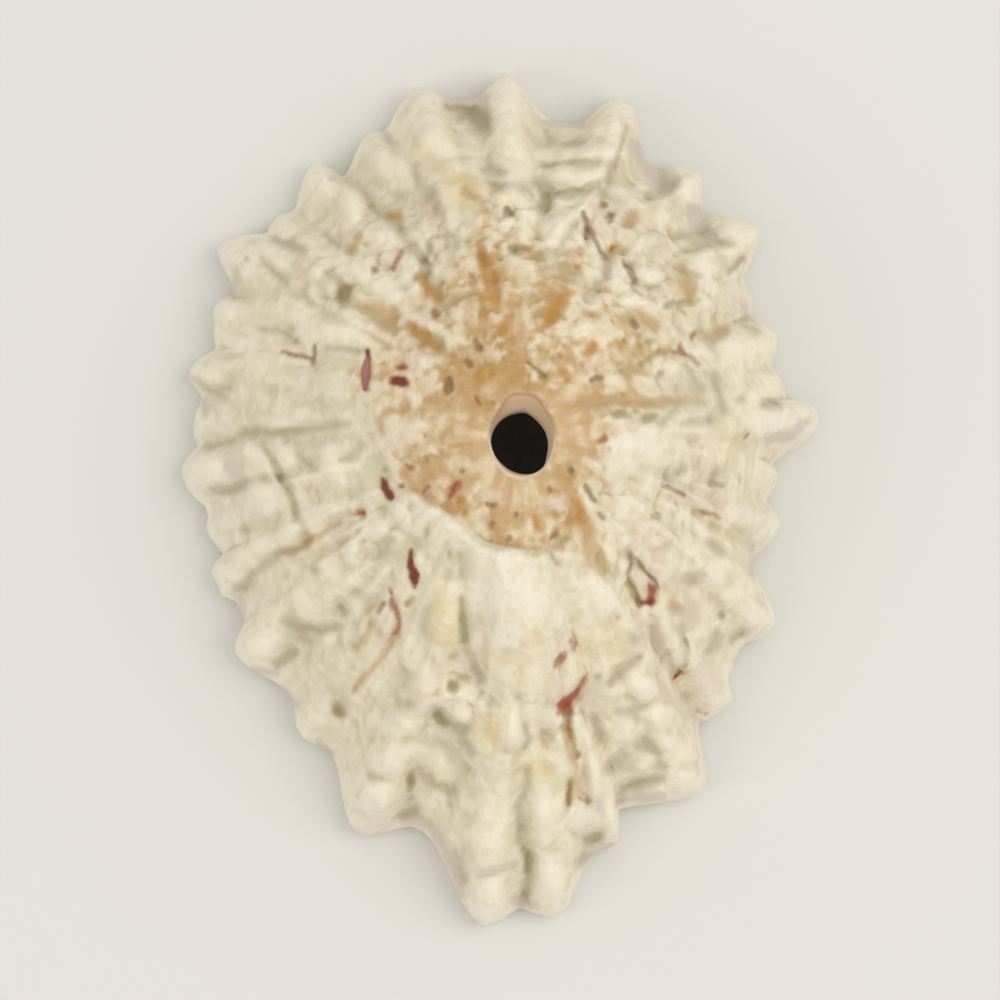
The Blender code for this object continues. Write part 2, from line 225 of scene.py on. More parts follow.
# Raised and sunken features: pixel, half length, half width, turn of the long side in
# degrees clockwise from the right, height in mm, how flat the top is
knobs = [
    # the mound and the lumps round it
    (515, 605, 64, 42, 88, 0.62, 1.5), (536, 650, 70, 44, 80, 0.34, 1.3),
    (505, 636, 16, 13, 90, 0.10, 1.6), (444, 618, 42, 16, 90, 0.30, 1.8),
    (430, 682, 24, 17, 90, 0.24, 1.8), (457, 704, 24, 14, 68, 0.42, 2.6),
    (483, 706, 9, 7, 80, 0.26, 1.8), (513, 733, 17, 8, 85, 0.30, 1.8),
    (487, 731, 20, 16, 90, 0.12, 1.4), (397, 757, 22, 18, 90, 0.20, 1.6),
    (400, 726, 18, 14, 0, 0.20, 1.6), (590, 592, 36, 24, 80, 0.28, 1.7),
    (615, 622, 22, 18, 60, 0.20, 1.6), (640, 686, 22, 13, 15, 0.26, 1.8),
    (655, 712, 22, 13, 15, 0.22, 1.8), (622, 727, 14, 20, 0, 0.20, 1.7),
    (660, 742, 20, 14, 20, 0.18, 1.7), (556, 612, 8, 34, 148, 0.16, 1.6),
    (592, 690, 12, 24, 170, 0.24, 1.6), (440, 515, 30, 10, 40, 0.12, 1.5),
    (545, 700, 20, 30, 0, 0.18, 1.6),
    # top
    (418, 118, 26, 36, 20, 0.40, 1.5), (505, 118, 18, 44, 0, 0.40, 1.9),
    (400, 168, 24, 18, 20, 0.20, 1.5), (353, 202, 19, 11, 88, 0.40, 2.0),
    (350, 228, 13, 9, 95, 0.18, 1.5), (384, 240, 18, 13, 50, 0.28, 1.6),
    (411, 274, 23, 12, 84, 0.36, 1.9), (312, 186, 26, 18, 70, 0.20, 1.5),
    (372, 146, 18, 13, 60, 0.18, 1.5), (277, 252, 20, 10, 30, 0.28, 1.8),
    (333, 290, 6, 6, 0, 0.20, 1.6), (358, 300, 12, 8, 20, 0.16, 1.6), (505, 197, 10, 8, 0, 0.28, 1.8),
    (525, 206, 8, 10, 0, 0.22, 1.7), (490, 248, 9, 9, 0, 0.30, 1.8), (521, 228, 8, 11, 0, 0.22, 1.7),
    (525, 242, 10, 7, 0, 0.22, 1.7), (519, 266, 12, 9, 0, 0.22, 1.7),
    (555, 234, 17, 15, 110, 0.32, 2.0), (500, 222, 9, 7, 0, 0.18, 1.6), (545, 262, 12, 9, 0, 0.16, 1.6),
    (625, 201, 19, 14, 20, 0.24, 1.7), (641, 190, 7, 9, 0, 0.18, 1.7), (620, 233, 4, 9, 0, 0.20, 1.6),
    (612, 280, 23, 9, 105, 0.30, 1.9), (650, 275, 17, 9, 8, 0.28, 2.4), (632, 300, 15, 6, 8, 0.26, 2.6),
    (645, 242, 14, 12, 0, 0.20, 1.6), (666, 208, 12, 18, 10, 0.20, 1.7),
    (688, 190, 14, 18, 10, 0.24, 2.0), (740, 236, 23, 21, 0, 0.36, 2.2),
    (718, 282, 22, 24, 0, 0.18, 1.8), (690, 330, 20, 12, 10, 0.16, 1.6),
    # right
    (764, 344, 20, 24, 0, 0.24, 2.0), (735, 356, 26, 28, 0, 0.20, 2.2), (672, 364, 9, 9, 0, 0.20, 1.7),
    (700, 385, 18, 12, 0, 0.14, 1.7), (757, 395, 7, 5, 20, 0.20, 1.8),
    (790, 418, 34, 20, 170, 0.20, 1.8), (630, 445, 16, 13, 0, 0.22, 1.8),
    (632, 470, 20, 12, 20, 0.16, 1.7), (660, 440, 16, 13, 0, 0.16, 1.7),
    (645, 509, 9, 7, 150, 0.20, 1.8), (598, 330, 18, 12, 160, 0.20, 1.7),
    (640, 340, 18, 12, 160, 0.16, 1.7), (765, 525, 24, 17, 30, 0.24, 1.9),
    (715, 560, 26, 22, 20, 0.20, 1.8), (690, 620, 26, 24, 30, 0.20, 1.8),
    (755, 620, 26, 20, 60, 0.22, 1.9), (712, 695, 24, 22, 60, 0.24, 1.9),
    (690, 780, 22, 20, 30, 0.26, 1.8), (773, 478, 14, 12, 0, 0.16, 1.7),
    (720, 455, 26, 16, 0, 0.12, 1.6), (640, 800, 30, 18, 20, 0.16, 1.6),
    # tail
    (487, 903, 26, 20, 100, 0.26, 2.4), (486, 842, 20, 26, 5, 0.26, 2.4),
    (488, 790, 18, 20, 0, 0.20, 2.0), (545, 802, 24, 17, 90, 0.22, 2.0),
    (541, 834, 17, 13, 0, 0.20, 2.0), (552, 880, 22, 27, 0, 0.24, 2.2),
    (580, 815, 12, 18, 20, 0.24, 2.2), (430, 790, 17, 14, 20, 0.20, 1.8),
    (455, 832, 14, 20, 160, 0.16, 1.8), (597, 780, 10, 24, 170, 0.18, 1.7),
    (503, 765, 22, 8, 175, 0.12, 1.7), (376, 799, 22, 19, 10, 0.28, 2.2),
    (382, 758, 24, 16, 0, 0.24, 1.9), (615, 835, 14, 18, 0, 0.16, 1.8),
    # left
    (207, 471, 24, 20, 20, 0.28, 1.8), (256, 456, 24, 9, 50, 0.14, 1.9),
    (284, 454, 17, 8, 65, 0.14, 1.9), (330, 456, 9, 14, 0, 0.13, 1.9), (334, 476, 9, 13, 0, 0.12, 1.9),
    (266, 500, 24, 17, 20, 0.14, 2.2), (290, 532, 13, 14, 0, 0.14, 2.2),
    (224, 575, 15, 13, 30, 0.20, 1.8), (302, 606, 28, 24, 0, 0.32, 1.8),
    (306, 604, 9, 7, 30, 0.08, 1.6), (256, 652, 27, 22, 20, 0.44, 1.9),
    (222, 311, 15, 13, 0, 0.22, 1.8), (204, 372, 18, 15, 0, 0.22, 1.8),
    (250, 372, 34, 16, 0, 0.12, 1.8), (330, 332, 34, 12, 10, 0.14, 1.8),
    (280, 412, 34, 18, 0, 0.12, 2.0), (218, 420, 22, 18, 0, 0.14, 1.8),
    (380, 530, 12, 6, 130, 0.14, 1.7), (352, 548, 14, 7, 110, 0.14, 1.7),
    (400, 512, 12, 9, 40, 0.16, 1.7), (340, 585, 18, 14, 110, 0.24, 1.7),
    (355, 645, 24, 14, 120, 0.26, 1.7), (330, 670, 26, 14, 120, 0.24, 1.7),
    (300, 310, 34, 14, 20, 0.10, 1.8),
    # the worn hollow
    (585, 328, 17, 13, 160, 0.16, 1.6), (530, 275, 14, 12, 0, 0.14, 1.6),
    (505, 285, 9, 16, 0, 0.14, 1.6), (430, 320, 14, 9, 30, 0.14, 1.6), (455, 335, 14, 9, 30, 0.12, 1.6),
    (556, 502, 16, 13, 0, 0.20, 1.7), (500, 520, 12, 9, 0, 0.12, 1.6), (470, 505, 9, 8, 0, 0.10, 1.6),
    (415, 445, 12, 14, 0, 0.12, 1.6),
    # sunken places
    (452, 688, 6, 5, 0, -0.26, 1.3), (344, 293, 9, 8, 20, -0.26, 1.5), (773, 402, 7, 4, 0, -0.2, 1.3),
    (478, 118, 14, 16, 20, -0.22, 1.3), (411, 778, 4, 12, 0, -0.26, 1.4),
    (438, 716, 8, 9, 0, -0.2, 1.3), (508, 212, 5, 4, 0, -0.2, 1.2), (515, 249, 9, 5, 0, -0.16, 1.2),
    (337, 711, 8, 6, 40, -0.22, 1.3), (603, 204, 5, 5, 0, -0.2, 1.2), (281, 478, 6, 5, 40, -0.14, 1.3),
    (660, 180, 12, 12, 60, -0.12, 1.2), (700, 222, 12, 10, 60, -0.14, 1.2),
    (455, 738, 22, 14, 20, -0.14, 1.3), (545, 202, 10, 14, 0, -0.16, 1.3),
]

# Raised lines and grooves: points along it with the half width in pixels, height in mm
ridgeLines = [
    ([(330, 250, 7), (352, 262, 9), (376, 278, 9), (396, 292, 8)], 0.32),
    ([(262, 240, 6), (290, 262, 8), (318, 278, 6)], 0.16),
    ([(354, 306, 4), (372, 300, 4), (395, 302, 3)], 0.18),
    ([(398, 296, 3), (408, 290, 4), (418, 276, 3)], 0.20),
    ([(583, 210, 3), (597, 188, 4), (603, 200, 4), (596, 236, 5), (606, 256, 3)], 0.22),
    ([(520, 262, 3), (548, 240, 4), (574, 216, 4), (592, 192, 3)], 0.20),
    ([(540, 155, 5), (570, 155, 6), (606, 152, 6)], 0.20),
    ([(540, 173, 6), (570, 173, 7), (604, 170, 6)], 0.20), ([(545, 140, 8), (590, 139, 7)], -0.16),
    ([(540, 164, 3), (570, 164, 3), (600, 162, 3)], -0.12),
    ([(446, 106, 2), (460, 110, 4), (474, 114, 7), (484, 122, 8)], -0.45),
    ([(486, 108, 3), (489, 130, 3)], -0.40), ([(455, 122, 3), (478, 138, 5), (500, 155, 6)], 0.18),
    ([(466, 166, 4), (490, 176, 5), (534, 182, 4)], 0.14),
    ([(540, 192, 3), (562, 196, 4), (584, 190, 3), (598, 184, 2)], -0.20),
    ([(462, 150, 4), (490, 160, 5), (520, 170, 4)], 0.14), ([(452, 166, 4), (486, 180, 5)], 0.14),
    ([(620, 102, 7), (614, 130, 8), (606, 160, 7), (600, 184, 6)], 0.22),
    ([(626, 126, 2), (621, 146, 2.5), (613, 170, 2)], -0.10), ([(634, 120, 5), (628, 138, 4)], 0.18),
    ([(415, 500, 5), (450, 522, 7), (478, 548, 6)], 0.16),
    ([(672, 265, 5), (690, 280, 5), (692, 305, 4)], 0.18),
    ([(205, 360, 3), (250, 351, 2.5), (285, 353, 2), (312, 358, 2)], -0.14),
    ([(315, 347, 1.5), (314, 366, 1.5)], -0.12),
    ([(340, 523, 2), (311, 540, 3), (295, 551, 2.5), (270, 554, 2.5), (250, 575, 3), (246, 590, 3)], -0.16),
    ([(274, 461, 3), (283, 480, 4), (291, 498, 4), (297, 518, 3)], -0.20),
    ([(280, 622, 4), (305, 634, 4), (338, 628, 3)], -0.12),
    ([(412, 562, 3), (413, 592, 3), (408, 604, 3)], -0.14),
    ([(391, 590, 2.5), (399, 612, 3.5), (396, 634, 3.5), (386, 650, 3), (370, 672, 3),
     (354, 690, 3)], -0.18),
    ([(549, 464, 5), (568, 492, 7), (583, 524, 8), (596, 556, 7), (604, 572, 4)], -0.20),
    ([(568, 622, 2.5), (577, 645, 3), (586, 678, 3), (577, 698, 4), (561, 712, 4)], -0.20),
    ([(566, 715, 4), (570, 750, 4), (570, 806, 2.5)], -0.20),
    ([(581, 730, 3), (584, 770, 3), (587, 804, 3)], -0.16), ([(576, 735, 2), (578, 800, 2)], 0.10),
    ([(524, 846, 3), (530, 860, 5), (530, 877, 4), (525, 902, 5)], -0.30),
    ([(464, 845, 2), (463, 888, 2)], -0.16), ([(430, 778, 4), (448, 788, 6), (453, 806, 5)], -0.30),
    ([(404, 814, 5), (414, 810, 6), (428, 824, 5)], -0.26),
    ([(624, 790, 5), (640, 783, 8), (660, 778, 6)], -0.34), ([(588, 840, 5), (602, 832, 5)], -0.30),
    ([(276, 664, 4), (292, 652, 6)], -0.26), ([(222, 490, 5), (236, 486, 4)], -0.20),
    ([(702, 232, 6), (716, 240, 4)], -0.24), ([(704, 244, 3), (728, 243, 3)], -0.14),
    ([(660, 186, 7), (672, 182, 6)], -0.24), ([(748, 372, 4), (766, 372, 4)], -0.20),
    ([(716, 652, 7), (728, 640, 7), (740, 633, 3)], -0.22), ([(300, 630, 4), (318, 630, 3)], -0.16),
    ([(246, 434, 4), (270, 431, 4), (300, 432, 3)], -0.12), ([(742, 326, 3), (756, 332, 4)], -0.16),
    ([(597, 716, 4), (604, 745, 4), (609, 775, 4)], -0.14),
    ([(478, 878, 2.5), (498, 872, 3), (515, 866, 2.5)], -0.16),
    ([(566, 806, 2), (570, 832, 3), (584, 838, 2.5)], -0.14),
    ([(650, 625, 2), (653, 645, 2), (664, 664, 2), (674, 675, 3)], -0.10),
    ([(684, 635, 2), (689, 655, 2), (684, 670, 2)], -0.10),
    ([(629, 554, 3), (629, 574, 2.5), (635, 592, 3), (641, 606, 3)], -0.18),
    ([(640, 565, 2.5), (655, 580, 2.5), (657, 592, 3)], -0.18),
    ([(663, 484, 2), (674, 489, 2.5), (697, 511, 3), (720, 517, 2.5), (741, 533, 2)], -0.18),
    ([(710, 483, 3), (735, 490, 2.5), (752, 504, 2)], -0.12),
    ([(555, 402, 4), (600, 398, 5), (650, 402, 4)], -0.12),
    ([(582, 214, 2), (590, 234, 2.5), (605, 257, 2)], -0.16),
    ([(460, 556, 3), (463, 600, 4), (466, 650, 5), (480, 680, 4)], -0.20),
    ([(575, 590, 4), (582, 625, 4)], -0.12), ([(384, 285, 3), (356, 268, 3), (338, 262, 2)], -0.10),
    ([(371, 205, 3), (382, 222, 4), (408, 232, 4), (425, 262, 3)], -0.20),
    ([(340, 235, 3), (352, 252, 3)], -0.15), ([(665, 306, 3), (680, 307, 3), (692, 301, 2)], -0.18),
    ([(684, 354, 2), (698, 366, 2)], -0.12), ([(725, 326, 3), (745, 318, 3), (756, 316, 2)], -0.14),
    ([(729, 272, 1.5), (743, 258, 1.5)], -0.12), ([(640, 366, 3), (654, 354, 3), (676, 352, 2)], -0.12),
    ([(382, 431, 2.5), (380, 420, 3), (389, 411, 3), (404, 410, 2)], -0.12),
    ([(413, 330, 5), (427, 339, 6), (440, 348, 4)], -0.14),
    ([(482, 256, 4), (490, 280, 7), (497, 306, 5)], -0.14), ([(566, 297, 4), (548, 324, 5)], -0.12),
]

# Strokes of colour: points along each, with the half width there in pixels
marks = {
    "tan": [
        [(362, 306, 4), (378, 310, 8), (392, 317, 9), (394, 328, 4)], [(443, 400, 8), (428, 404, 6)],
        [(476, 396, 5), (480, 404, 4)],
        [(382, 433, 2.5), (379, 420, 4), (388, 410, 3.5), (404, 409, 3), (412, 414, 2)],
        [(418, 412, 5), (450, 410, 5)], [(566, 374, 4), (560, 366, 5)],
        [(555, 404, 5), (600, 399, 5), (650, 402, 4), (700, 398, 2)],
        [(560, 470, 6), (575, 500, 7), (590, 540, 7), (602, 566, 6)],
        [(622, 322, 7), (640, 318, 8), (654, 324, 6)], [(682, 266, 4), (688, 284, 6), (690, 300, 4)],
        [(372, 623, 2), (366, 638, 3), (356, 647, 2)], [(712, 334, 3), (724, 330, 3)],
        [(634, 370, 4), (645, 370, 4)], [(425, 475, 10), (440, 468, 9)], [(470, 300, 5), (470, 330, 6)],
        [(352, 250, 4), (358, 236, 4)], [(466, 190, 5), (476, 196, 4)], [(632, 216, 6), (626, 224, 5)],
        [(672, 604, 5), (678, 610, 3)], [(692, 560, 2)], [(520, 300, 4), (520, 340, 6)],
        [(590, 398, 7), (600, 410, 6)], [(566, 440, 5), (578, 452, 6)], [(456, 398, 6), (470, 372, 8)],
        [(486, 345, 5), (470, 368, 7), (452, 384, 5)], [(512, 345, 3), (506, 372, 4)],
        [(396, 634, 2.5), (388, 648, 2.5), (372, 670, 2.2), (355, 690, 2.5)],
        [(340, 523, 1.5), (322, 533, 2), (308, 541, 3.5), (298, 549, 2.5), (278, 554, 1.5)],
        [(570, 740, 4), (574, 760, 4)], [(579, 765, 1.5), (580, 795, 2)],
        [(570, 780, 2), (570, 800, 2)], [(520, 520, 9), (500, 525, 8)], [(412, 478, 8), (430, 500, 6)],
        [(470, 480, 7), (450, 505, 7)],
    ],
    "orange": [
        [(480, 244, 3), (482, 258, 5), (489, 274, 9), (494, 292, 9), (497, 306, 6)],
        [(567, 295, 5), (558, 308, 8), (547, 325, 5)], [(502, 330, 6), (508, 321, 6)],
        [(480, 378, 4), (490, 374, 3)], [(512, 312, 1.5), (513, 344, 1.5)],
        [(413, 328, 4), (427, 338, 7), (440, 350, 5)], [(420, 278, 5), (428, 288, 5), (440, 300, 4)],
        [(390, 218, 4), (398, 216, 5)], [(577, 505, 4), (579, 519, 5)], [(537, 519, 3), (540, 532, 4)],
        [(462, 500, 4), (466, 510, 3)], [(460, 360, 5), (448, 366, 4)], [(486, 366, 4), (478, 378, 4)],
        [(594, 346, 6), (586, 354, 5)], [(563, 372, 4), (567, 380, 3)],
        [(310, 540, 1.5), (306, 542, 2)], [(544, 548, 2), (520, 546, 2), (506, 543, 1.5)],
        [(612, 252, 3), (617, 247, 3)],
    ],
    "lip": [  # the pinkish grey lip at the margin, darkened as painted shade on the lobes' shaded flanks
        [(448, 102, 2.5), (470, 99, 5.5), (486, 97, 5)], [(487, 103, 3), (489, 124, 2.5)],
        [(540, 122, 4), (560, 123, 6), (584, 126, 3)],
        [(631, 142, 4), (645, 158, 10), (655, 175, 11), (668, 188, 7)],
        [(690, 205, 4), (697, 216, 9), (704, 230, 10), (712, 236, 5)],
        [(619, 803, 3), (636, 797, 7), (664, 795, 4)], [(578, 862, 3), (592, 850, 5), (612, 846, 4)],
        [(393, 818, 2), (411, 816, 8), (428, 826, 6), (440, 838, 6)],
        [(444, 846, 6), (452, 868, 6), (462, 894, 5)], [(320, 742, 4), (332, 752, 5)],
        [(284, 688, 3), (296, 706, 4)], [(252, 670, 3), (276, 674, 4)],
        [(204, 402, 3), (206, 416, 2.5)], [(236, 268, 3), (236, 296, 4)],
        [(384, 134, 3), (394, 144, 5)], [(332, 179, 3)], [(478, 872, 2), (500, 868, 3), (516, 861, 2)],
        [(516, 900, 6), (534, 904, 5)], [(768, 440, 5), (790, 434, 7), (806, 420, 5)],
        [(700, 722, 3), (690, 712, 4)], [(740, 300, 2), (745, 312, 3)], [(240, 600, 4), (243, 618, 3)],
        [(600, 806, 4), (606, 818, 3)], [(752, 545, 3), (752, 575, 3)], [(745, 646, 3), (735, 662, 3)],
        [(232, 466, 8), (240, 480, 6)],
    ],
    "bright": [  # painted highlights on the crests of small lumps
        [(603, 595, 5)], [(632, 684, 7), (650, 687, 7)], [(658, 713, 7)], [(628, 728, 6)],
        [(670, 742, 7), (687, 754, 7)], [(684, 780, 7)], [(641, 765, 3), (652, 761, 3)],
        [(598, 635, 5)], [(664, 624, 3), (678, 650, 4)], [(716, 566, 5)], [(730, 595, 5)],
        [(696, 592, 4)], [(580, 725, 4)], [(592, 755, 5), (598, 790, 5)],
        [(612, 782, 4), (608, 819, 4)], [(716, 702, 5)], [(569, 557, 5)],
        [(690, 640, 3), (690, 660, 3)], [(450, 694, 5), (462, 690, 7)], [(462, 716, 7)],
        [(514, 712, 5), (515, 738, 7)], [(573, 672, 5)], [(579, 721, 4), (597, 764, 5), (594, 790, 4)],
        [(527, 712, 4), (550, 715, 5)], [(423, 666, 5), (429, 686, 5)], [(406, 727, 6)],
        [(437, 761, 5), (449, 773, 5)], [(432, 802, 5)], [(550, 758, 5)],
        [(544, 796, 8), (544, 813, 7)], [(484, 813, 5)], [(487, 842, 8)], [(495, 891, 10)],
        [(553, 877, 10)], [(579, 816, 5)], [(533, 672, 5)], [(504, 672, 5)], [(514, 101, 5)],
        [(517, 138, 7), (526, 170, 7)], [(442, 142, 9)], [(396, 163, 6)],
        [(467, 138, 4), (483, 151, 4)], [(548, 154, 3.5), (610, 154, 4.5)],
        [(554, 176, 5), (592, 179, 6)], [(598, 129, 5)], [(498, 201, 4.5), (511, 191, 4.5)],
        [(520, 201, 5), (529, 219, 6), (526, 238, 5)], [(551, 238, 7), (579, 210, 4)], [(487, 247, 4)],
        [(508, 257, 3.5), (529, 269, 5)], [(526, 288, 4)], [(452, 272, 4)], [(470, 306, 6)],
        [(526, 316, 5)], [(579, 331, 7)], [(350, 196, 9), (354, 212, 8)],
        [(310, 242, 5), (327, 254, 6), (352, 270, 6), (377, 286, 7), (392, 292, 7)],
        [(265, 250, 6), (283, 264, 6)], [(386, 236, 10)], [(408, 267, 7)],
        [(327, 329, 6), (358, 335, 6), (377, 348, 4)], [(451, 273, 6)], [(402, 167, 7)],
        [(426, 360, 7)], [(402, 310, 4), (426, 323, 4), (452, 337, 6)], [(330, 292, 4)],
        [(346, 314, 4), (370, 330, 4), (392, 342, 4)], [(311, 177, 6)], [(445, 149, 10)],
        [(199, 373, 4), (215, 376, 4)], [(240, 342, 5)], [(262, 363, 7)],
        [(733, 223, 8), (748, 235, 7)], [(687, 186, 6)], [(664, 217, 7)], [(652, 275, 8)],
        [(618, 275, 5), (621, 287, 6)], [(626, 301, 5), (644, 304, 5)], [(641, 243, 7)],
        [(595, 270, 7)], [(598, 304, 6)], [(612, 379, 6)], [(673, 368, 6)], [(733, 353, 11)],
        [(765, 350, 6)], [(774, 388, 6), (756, 395, 5)], [(676, 431, 4), (702, 431, 4)],
        [(254, 452, 6), (265, 466, 6)], [(277, 446, 4.5), (288, 461, 4.5)],
        [(216, 464, 6), (204, 472, 6), (196, 478, 5)], [(326, 455, 5), (340, 481, 5)],
        [(259, 487, 7), (280, 501, 7)], [(297, 490, 3), (303, 504, 4)], [(288, 536, 6), (297, 527, 5)],
        [(317, 516, 5), (332, 507, 5)], [(239, 559, 6), (262, 544, 6)], [(222, 573, 5)],
        [(306, 605, 7), (314, 614, 6)], [(352, 562, 5)], [(381, 530, 5)],
        [(386, 570, 3), (369, 591, 3)], [(257, 646, 11)], [(329, 640, 5)],
        [(262, 420, 3), (282, 422, 3)], [(294, 568, 5)],
    ],
    "grey": [  # painted shade in the hollows between the lumps
        [(675, 609, 5)], [(686, 642, 3)], [(655, 627, 2.5), (661, 647, 3), (675, 670, 3)],
        [(681, 627, 1.5), (687, 655, 1.5)], [(722, 615, 3)], [(693, 580, 5)],
        [(710, 543, 3), (722, 552, 3)], [(635, 638, 4)], [(638, 658, 3), (618, 676, 4)],
        [(598, 679, 3)], [(618, 713, 4), (647, 706, 3)], [(592, 716, 3), (600, 739, 3)],
        [(644, 739, 4), (652, 748, 4)], [(618, 765, 5)], [(658, 762, 3)], [(686, 696, 3)],
        [(600, 566, 5)], [(453, 657, 4)], [(474, 669, 4), (480, 682, 4)], [(452, 686, 3)],
        [(490, 702, 3)], [(518, 696, 3)], [(524, 727, 3), (530, 738, 4), (524, 747, 3)],
        [(585, 854, 3), (579, 865, 3)], [(620, 787, 3), (620, 802, 3)], [(614, 678, 4)],
        [(409, 703, 5)], [(461, 117, 3)], [(579, 142, 3), (567, 145, 3)],
        [(542, 166, 1.5), (576, 163, 2), (598, 160, 1.5)],
        [(489, 182, 2.5), (500, 185, 4), (526, 190, 2)], [(507, 213, 4)],
        [(467, 193, 2.5), (483, 204, 2.5)], [(424, 182, 2), (439, 213, 3)],
        [(447, 232, 3), (455, 244, 3)], [(514, 250, 4)], [(539, 255, 4)],
        [(542, 269, 2.5), (567, 266, 2.5), (576, 282, 3)], [(579, 219, 2.5), (557, 250, 2.5)],
        [(610, 170, 2), (609, 182, 2)], [(609, 269, 2.5), (585, 297, 2.5)],
        [(352, 186, 2.5), (364, 192, 3), (374, 208, 4), (392, 220, 6), (408, 242, 3), (423, 264, 5),
         (430, 282, 6), (448, 314, 3)],
        [(414, 174, 2), (423, 189, 2), (436, 214, 3)], [(327, 236, 2), (342, 248, 2), (352, 251, 5)],
        [(358, 239, 3)], [(327, 276, 3), (339, 279, 3), (346, 292, 6), (342, 300, 4)],
        [(358, 307, 3), (377, 314, 5), (391, 322, 7), (393, 312, 4)],
        [(408, 326, 3), (420, 335, 7), (436, 345, 8), (445, 354, 4)],
        [(274, 240, 2.5), (293, 245, 3.5), (305, 251, 2.5)],
        [(263, 254, 2.5), (271, 270, 3), (286, 282, 2)], [(304, 289, 2), (311, 304, 2)],
        [(262, 329, 2.5), (283, 332, 2.5), (296, 342, 2.5)],
        [(196, 379, 2), (209, 390, 2), (230, 388, 2)], [(327, 348, 2), (346, 348, 2), (361, 351, 1.5)],
        [(454, 298, 3)], [(560, 194, 3.5), (586, 192, 2), (598, 186, 2), (605, 197, 2)],
        [(606, 258, 4), (608, 275, 3), (589, 301, 2.5)], [(629, 220, 5)], [(647, 197, 4)],
        [(638, 284, 2), (658, 287, 2)], [(676, 267, 3), (687, 275, 5), (690, 295, 4)],
        [(676, 235, 2), (690, 235, 2)], [(687, 249, 1.5), (710, 245, 2), (733, 245, 1.5)],
        [(710, 345, 4), (718, 334, 6), (724, 330, 4)], [(629, 319, 6)],
        [(618, 371, 2), (638, 371, 3), (647, 374, 2)], [(684, 365, 1.5), (702, 388, 1.5)],
        [(713, 376, 4), (719, 394, 3), (723, 411, 3)], [(765, 404, 4), (780, 405, 3)], [(742, 400, 3)],
        [(730, 269, 2.5), (741, 258, 2.5)],
        [(592, 405, 5), (618, 401, 3), (638, 404, 3), (676, 402, 2.5), (704, 404, 2)], [(618, 413, 4)],
        [(635, 411, 3)], [(644, 420, 3), (652, 417, 3)], [(661, 423, 3), (673, 411, 3)],
        [(690, 426, 4), (710, 420, 4)],
        [(207, 448, 2), (233, 440, 2), (245, 432, 3), (271, 433, 3), (306, 429, 2.5), (346, 423, 2.5)],
        [(213, 490, 5), (228, 492, 5), (248, 484, 4), (265, 480, 3)],
        [(265, 449, 2), (282, 477, 4), (291, 495, 3), (297, 513, 3), (306, 539, 4)],
        [(297, 455, 2), (314, 469, 3)], [(360, 446, 4), (347, 459, 3)],
        [(308, 545, 3), (277, 555, 3), (256, 573, 3), (248, 583, 4), (238, 589, 3)], [(245, 530, 4)],
        [(392, 541, 3), (375, 559, 3)], [(314, 570, 4)], [(340, 609, 4)], [(355, 591, 3)],
        [(306, 628, 2.5), (329, 630, 3), (340, 625, 2.5)], [(285, 620, 2.5), (306, 640, 5)],
        [(355, 645, 3), (369, 631, 3), (373, 620, 2)],
        [(447, 107, 2), (462, 109, 4), (475, 114, 7), (484, 123, 7), (488, 130, 4)],
        [(548, 132, 3), (549, 143, 4)], [(540, 184, 6), (552, 194, 6), (543, 206, 4)],
        [(664, 188, 6), (674, 182, 5)], [(702, 232, 6), (708, 238, 5)], [(700, 245, 4), (726, 243, 3)],
        [(620, 788, 3), (636, 783, 5), (655, 780, 5)], [(588, 842, 4), (598, 837, 5)],
        [(404, 816, 4), (414, 810, 5)], [(413, 781, 3)], [(411, 799, 3)],
        [(419, 770, 2.5), (430, 784, 3.5), (452, 792, 4)], [(464, 741, 4), (472, 754, 3.5)],
        [(435, 709, 4), (443, 718, 4), (464, 730, 4), (469, 727, 3)], [(278, 664, 5), (292, 654, 5)],
        [(527, 770, 3), (527, 784, 3), (518, 802, 3), (520, 828, 3.5)],
        [(524, 848, 3), (530, 860, 4), (530, 877, 3), (524, 900, 3)], [(456, 851, 2), (462, 880, 3)],
        [(710, 650, 3), (717, 636, 4)], [(742, 634, 2.5), (733, 640, 3)],
        [(744, 325, 3), (756, 331, 4)], [(717, 470, 3), (712, 478, 3)], [(414, 168, 4), (418, 178, 4)],
        [(430, 190, 5), (436, 206, 5)], [(494, 184, 4), (500, 188, 4)], [(490, 168, 6), (500, 172, 5)],
        [(616, 762, 6), (606, 768, 4)], [(640, 745, 5), (655, 752, 4)], [(654, 764, 3), (664, 766, 3)],
        [(612, 166, 3), (609, 182, 3)], [(520, 826, 4), (520, 838, 4)], [(340, 608, 5), (344, 612, 4)],
        [(356, 645, 3)], [(336, 706, 3), (340, 714, 4)], [(280, 664, 4)],
        [(700, 330, 3), (712, 340, 4)], [(668, 478, 3), (684, 470, 2)], [(204, 386, 2), (222, 396, 3)],
    ],
    # olive stains, and painted shade in the pits and grooves
    "olive": [
        [(350, 288, 4), (342, 295, 7), (340, 300, 5)],
        [(666, 305, 3), (676, 303, 3.5), (690, 300, 2.5)], [(690, 305, 1.2), (697, 302, 1.2)],
        [(768, 401, 2.5), (776, 403, 2.5)], [(453, 687, 6)], [(438, 714, 4), (444, 722, 4)],
        [(428, 530, 2), (427, 535, 2)], [(450, 552, 2), (451, 557, 2)],
        [(413, 598, 2.5), (408, 604, 3)], [(549, 556, 3), (558, 563, 2.5)],
        [(618, 413, 4), (628, 415, 3)], [(646, 418, 4), (656, 416, 3)], [(608, 449, 2.5)],
        [(660, 514, 2.5), (657, 518, 3)], [(722, 615, 3)], [(507, 211, 3.5), (510, 214, 3)],
        [(512, 249, 4), (522, 249, 4)], [(296, 342, 2.5)], [(337, 711, 4), (343, 713, 3)],
        [(411, 775, 1.5), (409, 790, 1.5)], [(528, 852, 3), (528, 872, 3)], [(525, 893, 2.5)],
